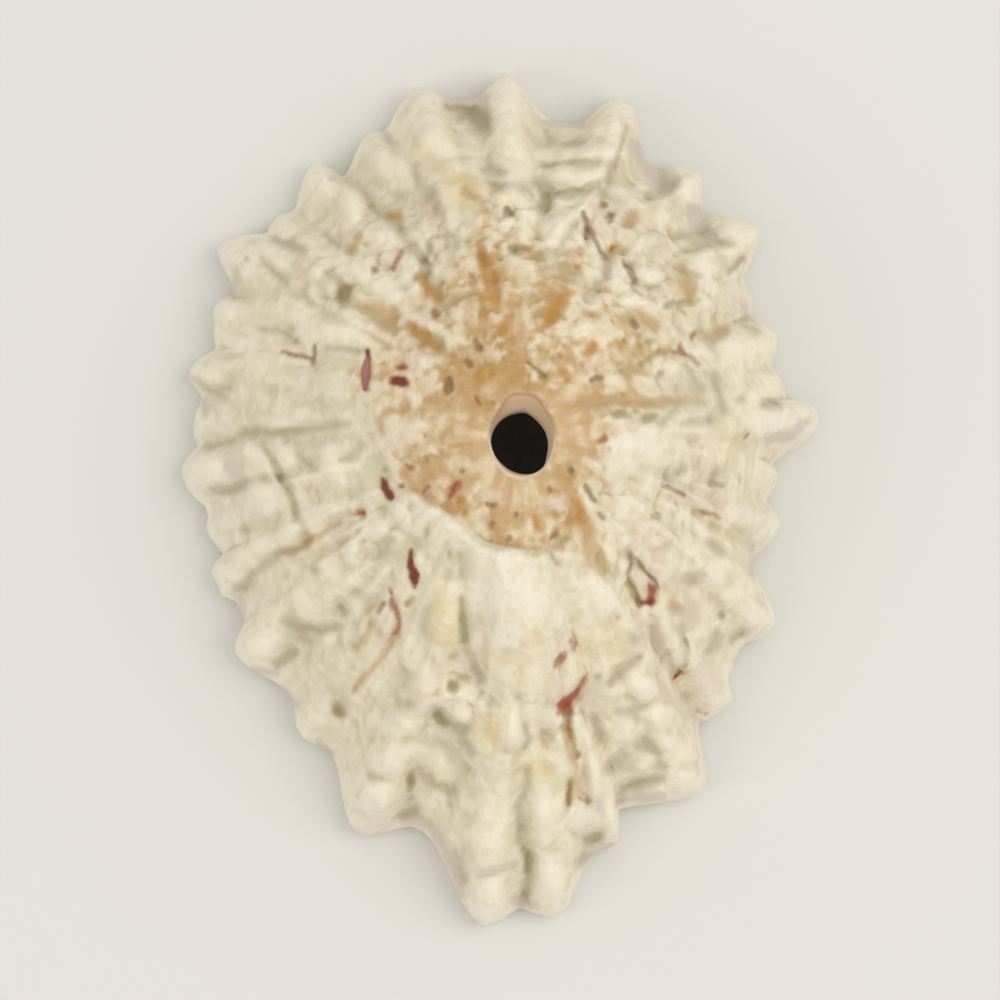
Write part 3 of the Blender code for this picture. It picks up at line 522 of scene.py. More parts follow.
        [(352, 514, 2.5)], [(246, 259, 3)], [(281, 477, 3)], [(711, 483, 2.5), (722, 486, 2)],
        [(640, 365, 2.5), (654, 354, 2.5), (674, 352, 2)], [(430, 246, 4), (424, 262, 4)],
        [(660, 374, 3)], [(568, 464, 3), (572, 474, 3)], [(386, 470, 3)],
        [(545, 196, 5), (546, 210, 4)], [(600, 182, 1.5), (576, 190, 2), (556, 193, 1.5)],
        [(735, 322, 2), (752, 317, 2)], [(340, 544, 1.5)], [(462, 600, 3), (464, 640, 4)],
        [(540, 374, 3), (546, 380, 3)], [(650, 626, 1.2), (653, 645, 1.2), (663, 662, 1.5)],
        [(686, 640, 1.5), (689, 655, 1.5), (684, 668, 1.5)], [(729, 272, 1.5), (743, 258.7, 1.5)],
        [(640, 345, 3), (650, 342, 3)], [(700, 300, 2)],
        [(626, 126, 1.2), (621, 146, 1.5), (614, 168, 1.2)],
    ],
    "brown": [
        [(448, 380, 3.5), (448, 390, 5)], [(435.5, 312.5, 4)], [(466, 360, 3), (470, 365, 4)],
        [(527, 362, 1.5), (545, 376, 1.5)], [(494, 403, 2)], [(476, 396, 2.5), (479, 402, 2.5)],
        [(624, 262, 2.5), (629, 268, 4), (633, 280, 3.5)], [(592, 380, 3), (600, 378, 3.5)],
        [(475, 341, 2.5), (480, 349, 4)], [(603, 204, 4)],
        [(582, 213, 2), (590, 230, 3), (598, 245, 2.5), (606, 259, 1.5)],
        [(586, 487, 2.2), (591, 493, 3), (595, 501, 2.2)], [(600, 513, 2.5), (604, 518, 3)],
        [(489, 503, 3), (495, 504, 3.5)], [(492.5, 526, 3.2)], [(516, 516, 3.2)], [(509, 538, 3.4)],
        [(684, 354, 1.5), (690, 357, 2), (697, 366, 1.5)], [(692, 337, 2), (694, 334, 2)],
        [(632, 322, 3), (636, 326, 3)], [(384, 604, 3), (380, 612, 2.5)],
        [(629, 553, 2.4), (631, 562, 2.8), (628, 574, 1.4), (634, 588, 1.4), (640, 604, 3)],
        [(634, 558, 1.4), (641, 566, 1.8), (655, 580, 1.4), (657, 588, 1.4)],
        [(282, 352, 1.2), (290, 355, 2), (312, 358, 1.5)], [(315.5, 345, 1.5), (314, 365, 2)],
        [(570, 783, 2), (569, 805, 2.4)], [(578, 752, 2.4), (578, 757, 2.2)],
        [(580, 798, 1.5), (588, 803, 2)], [(407, 466, 2), (410, 468, 1.8)], [(402, 486, 3)],
        [(427, 487, 3), (425, 494, 2)], [(571, 470, 2)], [(549, 489, 3.6)],
        [(663, 484, 1.5), (672, 489, 2), (683, 495, 2.2)], [(744, 437, 1.5), (747, 434, 1.5)],
        [(461, 471, 2.5)], [(697, 709, 1.2), (706, 714, 1.2)], [(367, 389, 3), (366, 383, 3)],
        [(606, 217, 2.2), (612, 216, 2.4)], [(609, 222, 2.4), (611, 215, 3.8)],
        [(570, 640, 1.5), (574, 650, 2)],
    ],
    "red": [
        [(399, 368, 3.5), (405, 367, 4.5)], [(359, 513, 2.5), (364, 512, 2.5)],
        [(560, 706, 5), (568, 701, 7), (575, 695, 6), (582, 685, 3), (586, 677, 2)],
        [(650, 584, 3), (651, 590, 6), (650, 598, 4.5)], [(450, 495, 3.2), (458, 484, 4)],
    ],
    "rust": [
        [(556, 668, 3), (561, 660, 5.5), (566, 655, 4)],
        [(699, 512, 2), (708, 514, 3), (720, 518, 1.6)], [(598, 441, 3.5), (603, 439, 4.5)],
        [(551, 537, 3), (556, 532, 5)], [(679, 346, 3), (681, 351, 4.5)],
        [(573, 629, 1.4), (575, 640, 2.2), (576, 647, 1.4)],
        [(390, 588, 2), (391, 600, 4), (397, 611, 4), (399, 622, 4), (395, 634, 2.5)],
        [(610, 252, 2.5), (613, 249, 3)], [(357, 513, 4), (364, 512, 4)],
        [(558, 714, 3), (566, 708, 7), (572, 712, 4)], [(567, 712, 4), (571, 736, 3.5)],
        [(682, 675, 2), (689, 672, 1)], [(402, 250, 2.6), (399, 260, 3.4), (394, 270, 3.4)],
        [(375, 270, 4.6)], [(582, 790, 1.5), (590, 802, 2.5)],
    ],
    "rose": [[(367.5, 361, 2.4), (366.5, 372, 3.6), (365.5, 386, 2.6)]],
    "maroon": [
        [(366.5, 351, 2.6), (368, 360, 3.8), (366, 376, 4.4), (365, 389, 2.6)],
        [(395, 381, 4.5), (404, 382, 5.5)], [(383, 478, 2), (386, 488, 4.4), (390, 496, 4)],
        [(411, 551, 1.6), (412, 565, 4), (414, 575, 5), (415, 586, 2.5)],
        [(643, 602, 2.5), (649, 602, 3.6), (652, 600, 2.5)], [(677, 677, 3), (680, 672, 3)],
    ],
}

# Soft patches of colour: pixel, half length, half width, turn in degrees, strength
tints = {
    "yellow": [
        (444, 618, 40, 15, 90, 1.0), (487, 731, 22, 20, 80, 1.0), (468, 192, 28, 22, 20, 0.9),
        (520, 665, 46, 40, 90, 0.5), (430, 150, 34, 44, 20, 0.5), (620, 360, 40, 26, 0, 0.3),
        (600, 640, 40, 34, 60, 0.5), (675, 300, 40, 30, 30, 0.35), (457, 704, 22, 13, 68, 0.8),
        (630, 145, 14, 34, 20, 0.4), (540, 770, 40, 22, 90, 0.45), (725, 560, 40, 30, 90, 0.25),
        (505, 197, 14, 11, 0, 0.9), (522, 262, 16, 12, 0, 0.7), (513, 733, 18, 10, 85, 0.7),
        (585, 130, 30, 12, 0, 0.4), (585, 170, 26, 12, 0, 0.4), (700, 330, 30, 20, 0, 0.3),
        (585, 262, 20, 14, 0, 0.5), (720, 445, 34, 24, 140, 0.5), (650, 275, 18, 10, 8, 0.6),
    ],
    "pink": [
        (384, 240, 26, 18, 60, 0.8), (350, 226, 14, 14, 90, 0.7), (598, 222, 30, 13, 75, 0.9),
        (634, 222, 20, 14, 40, 0.7), (558, 690, 34, 14, 80, 0.8), (588, 740, 70, 18, 85, 0.6),
        (395, 620, 60, 22, 105, 0.6), (430, 684, 26, 18, 90, 0.7), (560, 650, 34, 20, 80, 0.5),
        (655, 560, 50, 24, 60, 0.7), (640, 580, 10, 22, 150, 0.9), (660, 640, 34, 14, 70, 0.7),
        (715, 690, 34, 26, 60, 0.7), (510, 500, 50, 26, 0, 0.5), (420, 380, 34, 40, 0, 0.6),
        (400, 440, 24, 26, 0, 0.7), (410, 350, 26, 20, 0, 0.6), (495, 900, 30, 26, 0, 0.5),
        (720, 505, 46, 16, 20, 0.7), (700, 470, 20, 14, 90, 0.5), (290, 348, 24, 9, 10, 0.8),
        (300, 556, 50, 20, 160, 0.4), (420, 296, 26, 18, 0, 0.5), (557, 502, 18, 15, 0, 0.9),
        (620, 425, 22, 10, 0, 0.5), (690, 600, 34, 26, 70, 0.4), (540, 720, 30, 24, 90, 0.4),
        (610, 830, 20, 14, 0, 0.5), (600, 430, 18, 10, 0, 0.6), (480, 470, 30, 14, 20, 0.5),
        (340, 225, 30, 12, 70, 0.4), (445, 400, 30, 20, 0, 0.4), (413, 360, 13, 10, 0, 0.9),
        (548, 332, 12, 9, 120, 0.8), (588, 366, 12, 9, 0, 0.8), (620, 357, 14, 9, 0, 0.8),
        (492, 496, 18, 9, 0, 0.9), (433, 489, 13, 9, 40, 0.9), (410, 306, 14, 10, 0, 0.8),
        (515, 482, 30, 7, 0, 0.6), (466, 440, 12, 20, 0, 0.5), (575, 420, 12, 16, 0, 0.5),
    ],
    "green": [
        (385, 460, 30, 46, 0, 0.8), (345, 400, 50, 60, 0, 0.5), (556, 146, 30, 10, 0, 0.8),
        (556, 186, 34, 10, 0, 0.8), (478, 118, 22, 18, 20, 1.0), (640, 410, 70, 16, 0, 0.8),
        (240, 490, 24, 40, 0, 0.5), (270, 590, 40, 50, 0, 0.4), (430, 725, 60, 34, 30, 0.6),
        (526, 850, 10, 60, 0, 0.7), (700, 380, 40, 20, 0, 0.5), (545, 205, 16, 24, 0, 0.9),
        (660, 185, 20, 30, 160, 0.5), (462, 870, 16, 50, 160, 0.7), (464, 600, 12, 60, 0, 0.7),
        (725, 640, 40, 26, 120, 0.5), (340, 340, 60, 24, 10, 0.4), (630, 770, 50, 20, 160, 0.5),
        (460, 735, 26, 22, 0, 0.8), (405, 195, 22, 34, 20, 0.6), (718, 405, 10, 30, 0, 0.7),
        (385, 575, 16, 40, 20, 0.5), (320, 690, 24, 34, 30, 0.5), (690, 240, 30, 20, 0, 0.5),
        (570, 590, 18, 40, 160, 0.3), (650, 470, 50, 20, 10, 0.4), (740, 390, 30, 14, 0, 0.4),
        (500, 160, 26, 30, 0, 0.3), (740, 635, 16, 26, 60, 0.4), (300, 450, 60, 30, 0, 0.3),
    ],
    # white patches of the outer layer, and painted highlights on the lumps and crests
    "white": [
        (512, 590, 60, 34, 0, 0.9), (505, 636, 18, 14, 0, 0.9), (353, 202, 18, 11, 88, 1.0),
        (411, 274, 22, 12, 84, 0.8), (376, 278, 30, 9, 38, 0.8), (393, 291, 10, 7, 20, 0.9),
        (555, 234, 17, 15, 110, 1.0), (457, 704, 22, 13, 68, 0.7), (632, 445, 44, 26, 0, 0.9),
        (612, 280, 24, 10, 105, 0.8), (632, 300, 15, 6, 8, 1.0), (440, 516, 50, 12, 40, 0.9),
        (505, 100, 14, 26, 0, 0.6), (277, 252, 22, 11, 30, 0.9), (700, 190, 12, 20, 10, 0.7),
        (650, 275, 17, 9, 8, 0.8), (400, 726, 18, 12, 0, 0.8), (397, 757, 20, 16, 0, 0.7),
        (640, 687, 24, 13, 15, 0.9), (655, 712, 24, 13, 15, 0.9), (622, 727, 14, 20, 0, 0.7),
        (757, 395, 9, 5, 20, 1.0), (506, 170, 22, 16, 0, 0.6), (306, 604, 13, 10, 30, 1.0),
        (500, 560, 34, 14, 0, 0.8), (590, 590, 18, 34, 170, 0.8), (483, 706, 10, 8, 0, 0.9),
        (513, 733, 10, 18, 0, 0.6), (256, 456, 24, 9, 50, 0.7), (284, 454, 17, 8, 65, 0.7),
        (330, 456, 9, 14, 0, 0.7), (334, 476, 9, 13, 0, 0.6), (266, 500, 22, 16, 20, 0.5),
        (208, 466, 12, 8, 20, 0.6), (258, 650, 20, 16, 20, 0.8), (376, 799, 18, 14, 10, 0.8),
        (487, 845, 14, 22, 5, 0.7), (490, 900, 18, 14, 100, 0.7), (545, 800, 14, 22, 0, 0.6),
        (740, 236, 14, 12, 0, 0.6), (672, 364, 10, 9, 0, 0.8), (735, 356, 20, 24, 0, 0.5),
        (700, 300, 22, 14, 0, 0.5), (380, 530, 13, 6, 130, 0.7), (400, 512, 12, 9, 40, 0.8),
        (352, 548, 16, 7, 110, 0.6), (555, 606, 7, 34, 148, 0.6), (585, 328, 18, 12, 160, 0.8),
        (535, 272, 20, 14, 0, 0.6), (625, 195, 16, 10, 20, 0.6), (688, 560, 30, 24, 0, 0.5),
        (710, 445, 14, 22, 0, 0.4), (330, 330, 30, 12, 10, 0.6), (420, 360, 14, 12, 0, 0.5),
        (425, 440, 30, 16, 0, 0.4), (445, 270, 24, 26, 0, 0.4), (472, 318, 8, 13, 0, 0.9),
        (522, 286, 16, 20, 0, 0.5), (531, 300, 14, 14, 0, 0.5), (559, 284, 20, 16, 0, 0.45),
        (595, 302, 14, 9, 130, 0.8), (412, 398, 9, 12, 0, 0.7), (423, 427, 12, 8, 0, 0.8),
        (392, 430, 9, 14, 0, 0.8), (618, 420, 14, 8, 10, 0.8), (608, 391, 13, 7, 0, 0.7),
        (452, 312, 8, 7, 0, 0.6), (436, 372, 7, 9, 0, 0.5), (540, 345, 8, 9, 0, 0.5),
        (436, 130, 14, 20, 0, 0.9), (446, 149, 13, 8, 0, 0.9), (518, 153, 17, 15, 0, 0.8),
        (604, 152, 18, 9, 0, 0.9), (612, 134, 10, 12, 0, 0.7), (742, 229, 16, 9, 20, 0.9),
        (706, 265, 12, 18, 0, 0.8), (722, 364, 5, 9, 0, 0.8), (488, 816, 10, 14, 0, 0.8),
        (484, 888, 15, 11, 0, 0.9), (555, 872, 13, 17, 0, 0.9), (549, 822, 15, 14, 0, 0.7),
        (583, 820, 9, 11, 0, 0.9), (388, 763, 17, 8, 0, 1.0), (402, 724, 8, 9, 0, 0.9),
        (272, 634, 13, 9, 0, 0.8), (287, 533, 7, 6, 0, 0.8), (680, 777, 16, 8, 0, 0.9),
        (650, 757, 10, 4, 20, 0.8), (640, 730, 8, 10, 0, 0.8), (735, 510, 16, 14, 0, 0.6),
        (716, 572, 12, 14, 0, 0.8), (728, 617, 6, 3, -30, 0.9), (690, 182, 7, 20, 0, 0.8),
        (315, 178, 8, 12, 0, 0.6), (242, 346, 12, 7, -20, 0.9), (246, 330, 8, 6, 30, 0.7),
        (478, 512, 8, 7, 0, 0.6), (533, 505, 7, 8, 0, 0.5), (604, 340, 12, 8, 150, 0.6),
    ],
    "pale": [
        (205, 474, 30, 26, 0, 0.8), (222, 575, 20, 18, 0, 0.8), (256, 655, 32, 26, 20, 0.8),
        (376, 802, 30, 26, 0, 0.7), (490, 905, 30, 30, 0, 0.6), (800, 418, 44, 24, 0, 1.0),
        (198, 372, 18, 16, 0, 0.7), (220, 300, 18, 20, 0, 0.8), (222, 250, 20, 26, 0, 0.9),
        (262, 500, 26, 24, 0, 0.6), (215, 530, 20, 20, 0, 0.6), (696, 182, 16, 24, 0, 0.8),
        (745, 222, 24, 16, 30, 0.7), (505, 85, 16, 18, 0, 0.6), (418, 95, 18, 14, 0, 0.5),
        (318, 175, 16, 22, 20, 0.5), (715, 700, 26, 20, 0, 0.5), (775, 525, 22, 20, 0, 0.6),
        (690, 790, 24, 14, 0, 0.6), (640, 800, 40, 14, 160, 0.6), (770, 420, 40, 16, 0, 0.4),
        (235, 270, 16, 30, 20, 0.6), (560, 900, 20, 16, 0, 0.5),
    ],
    "mustard": [
        (500, 352, 40, 34, 0, 0.9), (466, 372, 34, 20, 40, 0.9), (438, 345, 34, 18, 35, 0.8),
        (486, 300, 34, 20, 80, 0.7), (550, 312, 30, 16, 125, 0.6), (408, 322, 24, 16, 30, 0.7),
        (520, 250, 40, 30, 0, 0.5), (446, 492, 30, 20, 30, 0.6), (575, 520, 34, 12, 60, 0.7),
        (470, 192, 20, 14, 20, 0.6), (640, 320, 22, 10, 0, 0.5), (566, 474, 24, 10, 60, 0.5),
        (520, 540, 30, 10, 0, 0.4), (560, 365, 16, 30, 130, 0.4), (517, 380, 36, 16, 0, 0.9),
        (482, 402, 14, 26, 30, 0.7), (545, 395, 12, 14, 0, 0.4), (468, 192, 30, 22, 0, 1.0),
        (430, 208, 20, 16, 0, 0.7), (440, 470, 30, 22, 0, 0.5), (430, 400, 26, 26, 0, 0.45),
        (455, 330, 40, 22, 40, 0.6), (686, 285, 16, 24, 0, 0.9), (566, 530, 26, 14, 60, 0.6),
        (560, 470, 16, 20, 0, 0.5), (470, 505, 30, 12, 20, 0.5), (636, 340, 30, 16, 0, 0.5),
        (352, 290, 16, 12, 0, 0.8), (630, 222, 20, 14, 0, 0.6), (712, 332, 22, 12, 0, 0.6),
        (572, 765, 10, 30, 0, 0.5),
    ],
}

# The tan wear round the hole, in pixels but for the size of its ragged edge
stain = {
    # how far it reaches from the hole: bearing clockwise from the top, pixels
    "reach": [
        (0, 190), (14, 165), (30, 170), (45, 165), (60, 160), (78, 130), (92, 75), (110, 80), (130, 92),
        (148, 150), (158, 120), (180, 118), (205, 115), (228, 122), (240, 128), (258, 125),
        (275, 135), (290, 165), (304, 190), (320, 185), (335, 165), (348, 195),
    ],
    "softness": 75.0,
    "ragged": (1.1, 22.0),  # size in mm
    "streaky": 26.0,
    "ledge": (160.0, 168.0, 238.0, 246.0),  # bearings over which the ledge bounds it
    "ledgeSoftness": 5.0,
    "ledgeLine": 7.0,
}

fineness = {
    "columnWidth": 0.125,
    "coarsest": 4,  # every column, every second or every fourth goes into a ring
    "bodyRows": 112,
    "rowSpread": 0.9,
    "edgeRows": 7,
    "bandRows": 3,
    "innerRows": 18,
    "throatRows": (4, 3, 7),
    "coarseUpTo": 0.5,
    "coarseInside": 0.6,
}

# Noise on a lattice of fixed random numbers
lattice = {
    "size": 4096,
    "apart": 7.31,  # cells between the fields of two draws
    "finer": 2.03,  # how much smaller each layer of a cloud is than the last
}
# Which random numbers each pattern uses, counted on from the seed
draws = {
    "wobble": 3, "waver": 4, "wander": 5, "broad": 11, "middle": 17, "small": 23, "bands": 29, "granules": 31,
    "pits": 37, "streak": 43, "ragged": 47, "shiftX": 53, "shiftY": 57, "lumps": 61, "rough": 67, "rays": 71,
    "rayLumps": 73,
}
nowhere = 999.0  # pixels, further than anything in the photograph
least = 1e-6
patchFlatness = 1.5


def smoothStep(value):
    held = np.clip(value, 0.0, 1.0)
    return held * held * (3.0 - 2.0 * held)


def between(value, low, high):
    # a smooth rise from 0 at low to 1 at high
    return smoothStep((value - low) / (high - low))


def ramp(value, low):
    return np.clip((value - low) / (1.0 - low), 0.0, 1.0)


def towardsCamera():
    tilt = math.radians(photograph["elevation"])
    return np.array([0.0, -math.cos(tilt), math.sin(tilt)])


def seenAt(points):
    # the pixel of the photograph at which each point shows
    back = towardsCamera()
    up = np.array([0.0, back[2], -back[1]])
    scale = photograph["distance"] / photograph["pixel"] / (photograph["distance"] - points @ back)
    middle = photograph["middle"]
    return middle + points[..., 0] * scale, middle - (points @ up) * scale


def latticeValue(whole, draw):
    table = np.random.RandomState(seed + draw).permutation(lattice["size"])
    mask = lattice["size"] - 1
    first = table[whole[..., 0] & mask]
    second = table[(first + whole[..., 1]) & mask]
    return table[(second + whole[..., 2]) & mask] / (lattice["size"] / 2) - 1.0


def noise(points, cell, draw):
    scaled = points / cell + draw * lattice["apart"]
    whole = np.floor(scaled).astype(np.int64)
    part = smoothStep(scaled - whole)
    total = np.zeros(points.shape[:-1])
    for corner in itertools.product((0, 1), repeat=3):
        share = np.ones(points.shape[:-1])
        for axis in range(3):
            share = share * (part[..., axis] if corner[axis] else 1.0 - part[..., axis])
        total += share * latticeValue(whole + np.array(corner), draw)
    return total


def cloud(points, cell, draw, layers=2):
    total, size = 0.0, 1.0
    for layer in range(layers):
        total = total + size * noise(points, cell / lattice["finer"]**layer, draw + layer)
        size *= 0.5
    return total


def cellGap(points, cell, draw):
    # distance to the nearest scattered grain, in cells
    scaled = points / cell
    whole = np.floor(scaled).astype(np.int64)
    best = np.full(points.shape[:-1], nowhere)
    for corner in itertools.product((-1, 0, 1), repeat=3):
        place = whole + np.array(corner)
        spot = np.stack([latticeValue(place, draw + axis) for axis in range(3)], axis=-1)
        gap = place + 0.5 + 0.5 * spot - scaled
        best = np.minimum(best, np.sqrt((gap**2).sum(axis=-1)))
    return best


# Shapes read from the photograph, as depths inside a stroke or a spot
def strokeDepth(px, py, stroke):
    best = np.full(px.shape, -nowhere)
    for start, end in zip(stroke, stroke[1:] or stroke):
        alongX, alongY = end[0] - start[0], end[1] - start[1]
        length = max(alongX**2 + alongY**2, least)
        share = np.clip(((px - start[0]) * alongX + (py - start[1]) * alongY) / length, 0.0, 1.0)
        gap = np.hypot(px - start[0] - share * alongX, py - start[1] - share * alongY)
        best = np.maximum(best, start[2] + (end[2] - start[2]) * share - gap)
    return best


def spotShare(px, py, x, y, halfLong, halfWide, turn, flatness):
    angle = math.radians(turn)
    along = (px - x) * math.cos(angle) + (py - y) * math.sin(angle)
    across = (py - y) * math.cos(angle) - (px - x) * math.sin(angle)
    return np.exp(-(((along / halfLong) ** 2 + (across / halfWide) ** 2) ** flatness))


def patchShare(px, py, patches):
    # the strongest of the round patches at each place
    share = np.zeros(px.shape)
    for x, y, radius, strength in patches:
        spot = spotShare(px, py, x, y, radius, radius, 0.0, patchFlatness)
        share = np.maximum(share, strength * spot)
    return share


def outsideCrater(px, py):
    # share of the outer layer that stands here: 0 in the worn hollow, 1 well outside it
    edge = crater["edge"]
    gapAdded, power = crater["pull"]
    inside = np.zeros(px.shape, bool)
    nearest = np.full(px.shape, nowhere)
    weight, soft = np.zeros(px.shape), np.zeros(px.shape)
    for start, end in zip(edge, edge[1:] + edge[:1]):
        gap = -strokeDepth(px, py, [(start[0], start[1], 0.0), (end[0], end[1], 0.0)])
        nearest = np.minimum(nearest, gap)
        pull = 1.0 / (gap + gapAdded) ** power
        weight += pull
        soft += pull * (start[2] + end[2]) / 2.0
        crosses = (start[1] > py) != (end[1] > py)
        rise = end[1] - start[1] if end[1] != start[1] else least
        inside ^= crosses & (px < start[0] + (py - start[1]) * (end[0] - start[0]) / rise)
    away = np.where(inside, -nearest, nearest)
    return smoothStep(away * weight / soft), away


def polar(x, y):
    across, along = x - form["hole"][0], y - form["hole"][1]
    return math.atan2(across, along), math.hypot(across, along)


def reachOf(x, y):
    return np.hypot(x - form["hole"][0], y - form["hole"][1])


def aroundHole(bearing, reach):
    return form["hole"][0] + reach * np.sin(bearing), form["hole"][1] + reach * np.cos(bearing)


def ringAt(x, y, z):
    return np.stack(np.broadcast_arrays(x, y, z), axis=-1)


def degreesFrom(bearings, place):
    return (np.degrees(bearings) - place + 180.0) % 360.0 - 180.0


def averaged(ring, times):
    for _ in range(times):
        ring = (np.roll(ring, 1, -1) + 2.0 * ring + np.roll(ring, -1, -1)) / 4.0
    return ring


def ribColumns():
    # one column of the mesh per entry, clockwise from +y
    table, coarsest = ribs["table"], fineness["coarsest"]
    crests = [polar(rib[0], rib[1]) for rib in table]
    valleys = [polar(rib[2], rib[3]) for rib in table]
    found = []
    for index, (crest, valley) in enumerate(zip(crests, valleys)):
        before = valleys[index - 1]
        turnBefore = (crest[0] - before[0]) % math.tau
        turnAfter = (valley[0] - crest[0]) % math.tau
        width = turnBefore + turnAfter
        for side, low, turn, hollow in (
            (-1, before, turnBefore, table[index][4]),
            (1, valley, turnAfter, table[index][5]),
        ):
            length = math.hypot(turn * crest[1], crest[1] - low[1])
            count = coarsest * max(1, round(length / (coarsest * fineness["columnWidth"])))
            for step in range(count):
                share = step / count if side > 0 else 1.0 - step / count
                rise = (1.0 - share ** form["tipRoundness"]) ** hollow
                reach = low[1] + (crest[1] - low[1]) * rise
                found.append((crest[0] + side * share * turn, reach, low[1], share, width, index))
    columns = dict(zip(("bearing", "margin", "valley", "rib", "width", "number"), np.array(found).T))
    columns["width"] = averaged(columns["width"], ribs["widthRounds"])
    columns["number"] = columns["number"].astype(int)
    middle, pixel = photograph["middle"], photograph["pixel"]
    for x, y, wide, height in outlineBumps:
        bearing, _ = polar((x - middle) * pixel, (middle - y) * pixel)
        away = degreesFrom(columns["bearing"], math.degrees(bearing))
        columns["margin"] = columns["margin"] + height * np.exp(-((away / wide) ** 2))
    return columns


def oval(bearings, half, shift=(0.0, 0.0), uneven=()):
    reach = np.ones(bearings.shape)
    for place, wide, change in uneven:
        reach = reach + change * np.exp(-((degreesFrom(bearings, place) / wide) ** 2))
    across = form["hole"][0] + shift[0] + half[0] * reach * np.sin(bearings)
    along = form["hole"][1] + shift[1] + half[1] * reach * np.cos(bearings)
    return across, along


def rimOf(bearings):
    return oval(bearings, form["rimHalf"], form["rimShift"], form["rimUneven"])


def coneUnder(columns, share):
    # the smooth cone that the ribs stand on; its outline turns into the ribbed margin on the way out
    smooth, soft = (averaged(columns["margin"], rounds) for rounds in form["marginRounds"])
    margin = smooth + (soft - smooth) * ramp(share, form["softFrom"]) ** 2
    margin = margin + (columns["margin"] - soft) * ramp(share, form["ribbedFrom"]) ** 2
    rimX, rimY = rimOf(columns["bearing"])
    endX, endY = aroundHole(columns["bearing"], margin)
    fall = form["rimHeight"] - form["marginHeight"]
    z = form["marginHeight"] + fall * (1.0 - share ** form["outerBend"])
    return ringAt(rimX + (endX - rimX) * share, rimY + (endY - rimY) * share, z)


def noduleShares(columns, share, cone):
    # how far each place is up its growth stage's nodule, how large that nodule is, and the stage's step
    bearing, rib, count = columns["bearing"], columns["rib"], ribs["stages"]
    circle = ringAt(np.cos(bearing), np.sin(bearing), 0.0)
    wobble, waver, wander = (
        amount * noise(place, size, draws[name])
        for name, place in (("wobble", circle), ("waver", cone), ("wander", cone))
        for size, amount in (ribs[name],)
    )
    growth = share * count + wobble * (1.0 - share**6) + waver
    stage = np.clip(np.floor(growth), 0, count).astype(int)
    spread = np.random.RandomState(seed).uniform(-1.0, 1.0, (len(ribs["table"]), count + 1))
    size = 1.0 + ribs["noduleSpread"] * spread[columns["number"], stage]
    across = np.abs(rib + wander * (1.0 - share**8))
    step = 1.0 - between(np.abs(growth % 1.0 - 0.5), *ribs["noduleLength"])
    knob = step * (1.0 - between(across, *ribs["noduleWidth"])) * (1.0 - between(rib, *ribs["noduleFoot"]))
    return knob, size, step


def ribLift(columns, share, cone):
    # height of the ribs and their nodules over the cone
    px, py = seenAt(cone)
    gone = patchShare(px, py, wornPatches)
    knob, size, step = noduleShares(columns, share, cone)
    crestWidth, steepness, freeFrom, inland, valley, knobby = (
        averaged(np.array(ribs[name], float)[columns["number"]], ribs["blendRounds"])
        for name in ("crestWidth", "steepness", "freeFrom", "inland", "valley", "knobby")
    )
    rib, reach = columns["rib"], reachOf(cone[..., 0], cone[..., 1])
    tall = np.minimum(ribs["heightShare"] * columns["width"] * reach, ribs["heightMost"])
    bell = np.exp(-((rib / crestWidth) ** steepness)) * (1.0 - rib**6) ** 2
    ridge = (ribs["crest"] + valley) * bell - valley
    grown = between(share, *ribs["grown"])
    free = smoothStep((share - freeFrom) / ribs["freeOver"])
    stands = inland + (1.0 - inland) * free
    lift = tall * ridge * stands * grown * (1.0 - ribs["wornAway"] * gone)
    lift = lift + ribs["noduleHeight"] * knobby * size * knob * grown * (1.0 - gone)
    return averaged(lift + ribs["stepHeight"] * step * grown, ribs["liftRounds"])


def outerFace(columns, share):
    # every row of the outer face at once: share is rows by columns, 0 at the hole's rim, 1 at the margin
    cone = coneUnder(columns, share)
    lift = ribLift(columns, share, cone)
    stands, _ = outsideCrater(*seenAt(cone))
    layer = crater["depth"] * stands * (1.0 - share**2)

    # The relief stands square to the cone, and turns upright where the margin is near
    bend, fall = form["outerBend"], form["rimHeight"] - form["marginHeight"]
    run = columns["margin"] - reachOf(*rimOf(columns["bearing"]))
    slope = fall * bend * np.maximum(share, least) ** (bend - 1.0) / run
    level = 1.0 / np.sqrt(1.0 + slope**2)
    outward = slope * level * (1.0 - share**4)
    turned = ringAt(outward * np.sin(columns["bearing"]), outward * np.cos(columns["bearing"]), level)
    face = cone + lift[..., None] * turned + layer[..., None] * towardsCamera()
    floor, soft = form["valleyTop"] - form["valleyDip"] * columns["rib"], form["valleySoftness"]
    face[..., 2] = floor + soft * np.log1p(np.exp((face[..., 2] - floor) / soft))
    return face


# Each ring is its points, the step between the columns that it keeps, its zone and its share of that zone
def bodyRings(columns, edge):
    # from the hole's rim to where the edge begins to turn under
    run = columns["margin"] - reachOf(*rimOf(columns["bearing"]))
    last = 1.0 - edge * (1.0 - math.sin(math.radians(form["edgeTurn"]))) / run
    rows = np.linspace(0.0, 1.0, fineness["bodyRows"] + 1) ** fineness["rowSpread"]
    face = outerFace(columns, rows[:, None] * last)
    return [(ring, 2 if row < fineness["coarseUpTo"] else 1, "outer", row) for ring, row in zip(face, rows)]


def edgeRings(columns, edge, bottom, top):
    # round the edge, down to the underside
    turn, count = math.radians(form["edgeTurn"]), fineness["edgeRows"]
    half = (top - bottom) / (1.0 + math.cos(turn))
    rings = []
    for row in range(1, count + 1):
        angle = turn + (math.pi - turn) * row / count
        x, y = aroundHole(columns["bearing"], columns["margin"] - edge * (1.0 - math.sin(angle)))
        rings.append((ringAt(x, y, bottom + half * (1.0 + math.cos(angle))), 1, "edge", 1.0 + row / count))
    return rings


